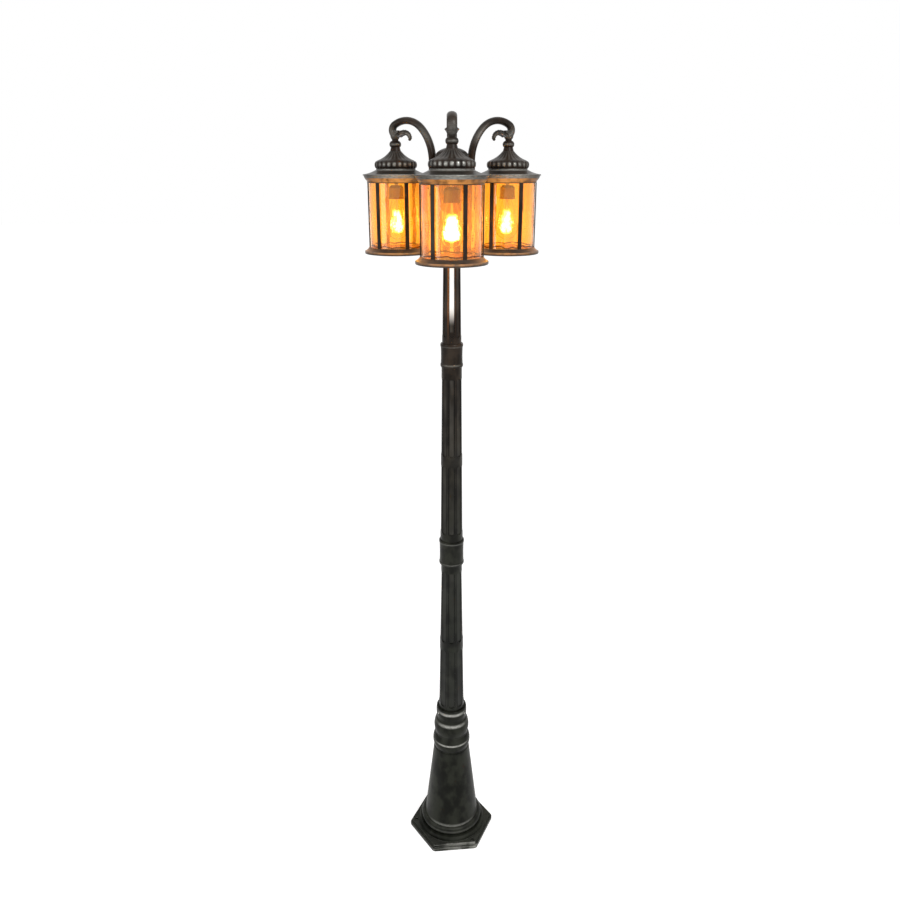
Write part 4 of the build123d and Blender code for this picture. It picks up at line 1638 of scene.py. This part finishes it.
@dataclass
class Bulb:
    """A lit bulb in its lampholder."""

    side: Side
    reach: float = HEAD_REACH
    middle: float = 1.962
    power: float = 1.3
    radius: float = 0.022
    """Radius of the ball of light."""
    warmth: Colour = (1.0, 0.56, 0.20)

    def make(self, glass: BulbGlass, wire: GlowingWire, glaze: Porcelain) -> None:
        """Dress the bulb and light it.

        Args:
            glass: The bulb's glass.
            wire: The filament's glow.
            glaze: The lampholder's finish.
        """
        name = self.side.label
        dress(f"{name}_lampholder", glaze.mix(f"{name}_holder_glaze"))
        dress(f"{name}_bulb_cap", BRASS.mix(f"{name}_cap_brass"))
        dress(f"{name}_bulb_glass", glass.mix(f"{name}_bulb_glass"))
        dress(f"{name}_filament", wire.mix(f"{name}_filament_glow"))
        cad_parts[f"{name}_bulb_glass"].visible_shadow = False
        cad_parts[f"{name}_filament"].visible_shadow = False
        lamp = bpy.data.lights.new(f"{name}_glow", "POINT")
        lamp.energy = self.power
        lamp.color = self.warmth
        lamp.shadow_soft_size = self.radius
        glow = show(f"{name}_glow", lamp)
        glow.visible_camera = False
        glow.visible_transmission = False
        glow.location = self.side.place(self.reach, 0.0, self.middle)


# ---- studio -------------------------------------------------------------------------------------


@dataclass(frozen=True)
class SoftLamp:
    """A soft square lamp: where it hangs, its width and its power in watts."""

    name: str
    place: tuple[float, float, float]
    width: float
    power: float

    def hang(self, target: Vector) -> None:
        """Hang the lamp.

        Args:
            target: What it points at.
        """
        lamp = bpy.data.lights.new(self.name, "AREA")
        lamp.size = self.width
        lamp.energy = self.power
        piece = show(self.name, lamp)
        piece.location = self.place
        piece.rotation_euler = (target - Vector(self.place)).to_track_quat("-Z", "Y").to_euler()


@dataclass
class Studio:
    """A pale floor, soft lamps and the camera."""

    camera_place: tuple[float, float, float] = (-0.00096, -2.015, 2.091)
    pitch: float = 20.15
    yaw: float = 0.105
    lens: float = 30.5
    sensor: float = 36.0
    floor_width: float = 60.0
    floor_colour: Colour = (0.86, 0.86, 0.86)
    floor_roughness: float = 0.9
    floor_glow: float = 0.42
    white: Colour = (1.0, 1.0, 1.0)
    sky: float = 0.75
    """The sky's strength as a light; what looks at it sees 1."""
    aim: tuple[float, float, float] = (0.0, 0.0, 1.2)
    lamps: tuple[SoftLamp, ...] = (
        SoftLamp("key", (1.5, -2.2, 3.4), 1.2, 60.0),
        SoftLamp("fill", (-2.4, -1.6, 2.2), 1.6, 22.0),
    )

    def paint_floor(self) -> bpy.types.Material:
        """Mix a pale floor that keeps the object's shadow.

        Returns:
            The material.
        """
        recipe = Recipe("pale_floor")
        recipe.set(Base_Color=(*self.floor_colour, 1.0), Roughness=self.floor_roughness)
        recipe.set(Specular_IOR_Level=0.0, Emission_Color=(*self.white, 1.0))
        rays = recipe.add("ShaderNodeLightPath").outputs
        seen = recipe.sums("ADD", rays["Is Camera Ray"], rays["Is Glossy Ray"])
        seen = recipe.sums("MINIMUM", recipe.sums("ADD", seen, rays["Is Transmission Ray"]), 1.0)
        recipe.drive("Emission Strength", recipe.times(seen, self.floor_glow))
        return recipe.material

    def lay_floor(self) -> None:
        """Lay the floor."""
        half = self.floor_width / 2.0
        mesh = bpy.data.meshes.new("studio_floor")
        corners = [(-half, -half, 0.0), (half, -half, 0.0), (half, half, 0.0), (-half, half, 0.0)]
        mesh.from_pydata(corners, [], [(0, 1, 2, 3)])
        floor = show("studio_floor", mesh)
        floor.data.materials.append(self.paint_floor())

    def light_sky(self) -> None:
        """Set a pale sky that the camera, metal and glass see as white."""
        world = bpy.data.worlds.new("pale_sky")
        world.use_nodes = True
        bpy.context.scene.world = world
        tree = world.node_tree
        rays = tree.nodes.new("ShaderNodeLightPath").outputs
        seen = rays["Is Camera Ray"]
        for name in ("Is Transmission Ray", "Is Glossy Ray"):
            either = tree.nodes.new("ShaderNodeMath")
            either.operation = "MAXIMUM"
            tree.links.new(seen, either.inputs[0])
            tree.links.new(rays[name], either.inputs[1])
            seen = either.outputs[0]
        level = tree.nodes.new("ShaderNodeMapRange")
        level.inputs["To Min"].default_value = self.sky
        level.inputs["To Max"].default_value = 1.0
        tree.links.new(seen, level.inputs["Value"])
        tree.links.new(level.outputs["Result"], tree.nodes["Background"].inputs["Strength"])
        tree.nodes["Background"].inputs["Color"].default_value = (*self.white, 1.0)

    def set_camera(self) -> None:
        """Put the camera at the photograph's viewpoint."""
        data = bpy.data.cameras.new("view")
        data.lens = self.lens
        data.sensor_width = self.sensor
        camera = show("view", data)
        camera.location = self.camera_place
        camera.rotation_euler = (math.radians(90.0 - self.pitch), 0.0, math.radians(self.yaw))
        bpy.context.scene.camera = camera

    def build(self) -> None:
        """Set up floor, sky, lamps and camera."""
        self.lay_floor()
        self.light_sky()
        for lamp in self.lamps:
            lamp.hang(Vector(self.aim))
        self.set_camera()
        bpy.context.scene.view_settings.view_transform = "Standard"
        LOG.info("studio ready")


def main() -> None:
    """Build the lamp post's looks, sub-assembly by sub-assembly."""
    logging.basicConfig(level=logging.INFO, format="%(name)s: %(message)s")
    bronze = AgedBronze()
    Foot().dress(DULL_BRONZE)
    Pole().dress(bronze, FlutedBronze())
    Hub().dress(bronze)
    for side in Side:
        Arm(side).dress(bronze)
        Lantern(side).make(bronze, WaterGlass())
        Bulb(side).make(FRONT_BULB if side is Side.FRONT else SIDE_BULB, GlowingWire(), Porcelain())
    Studio().build()


if __name__ == "__main__":
    main()
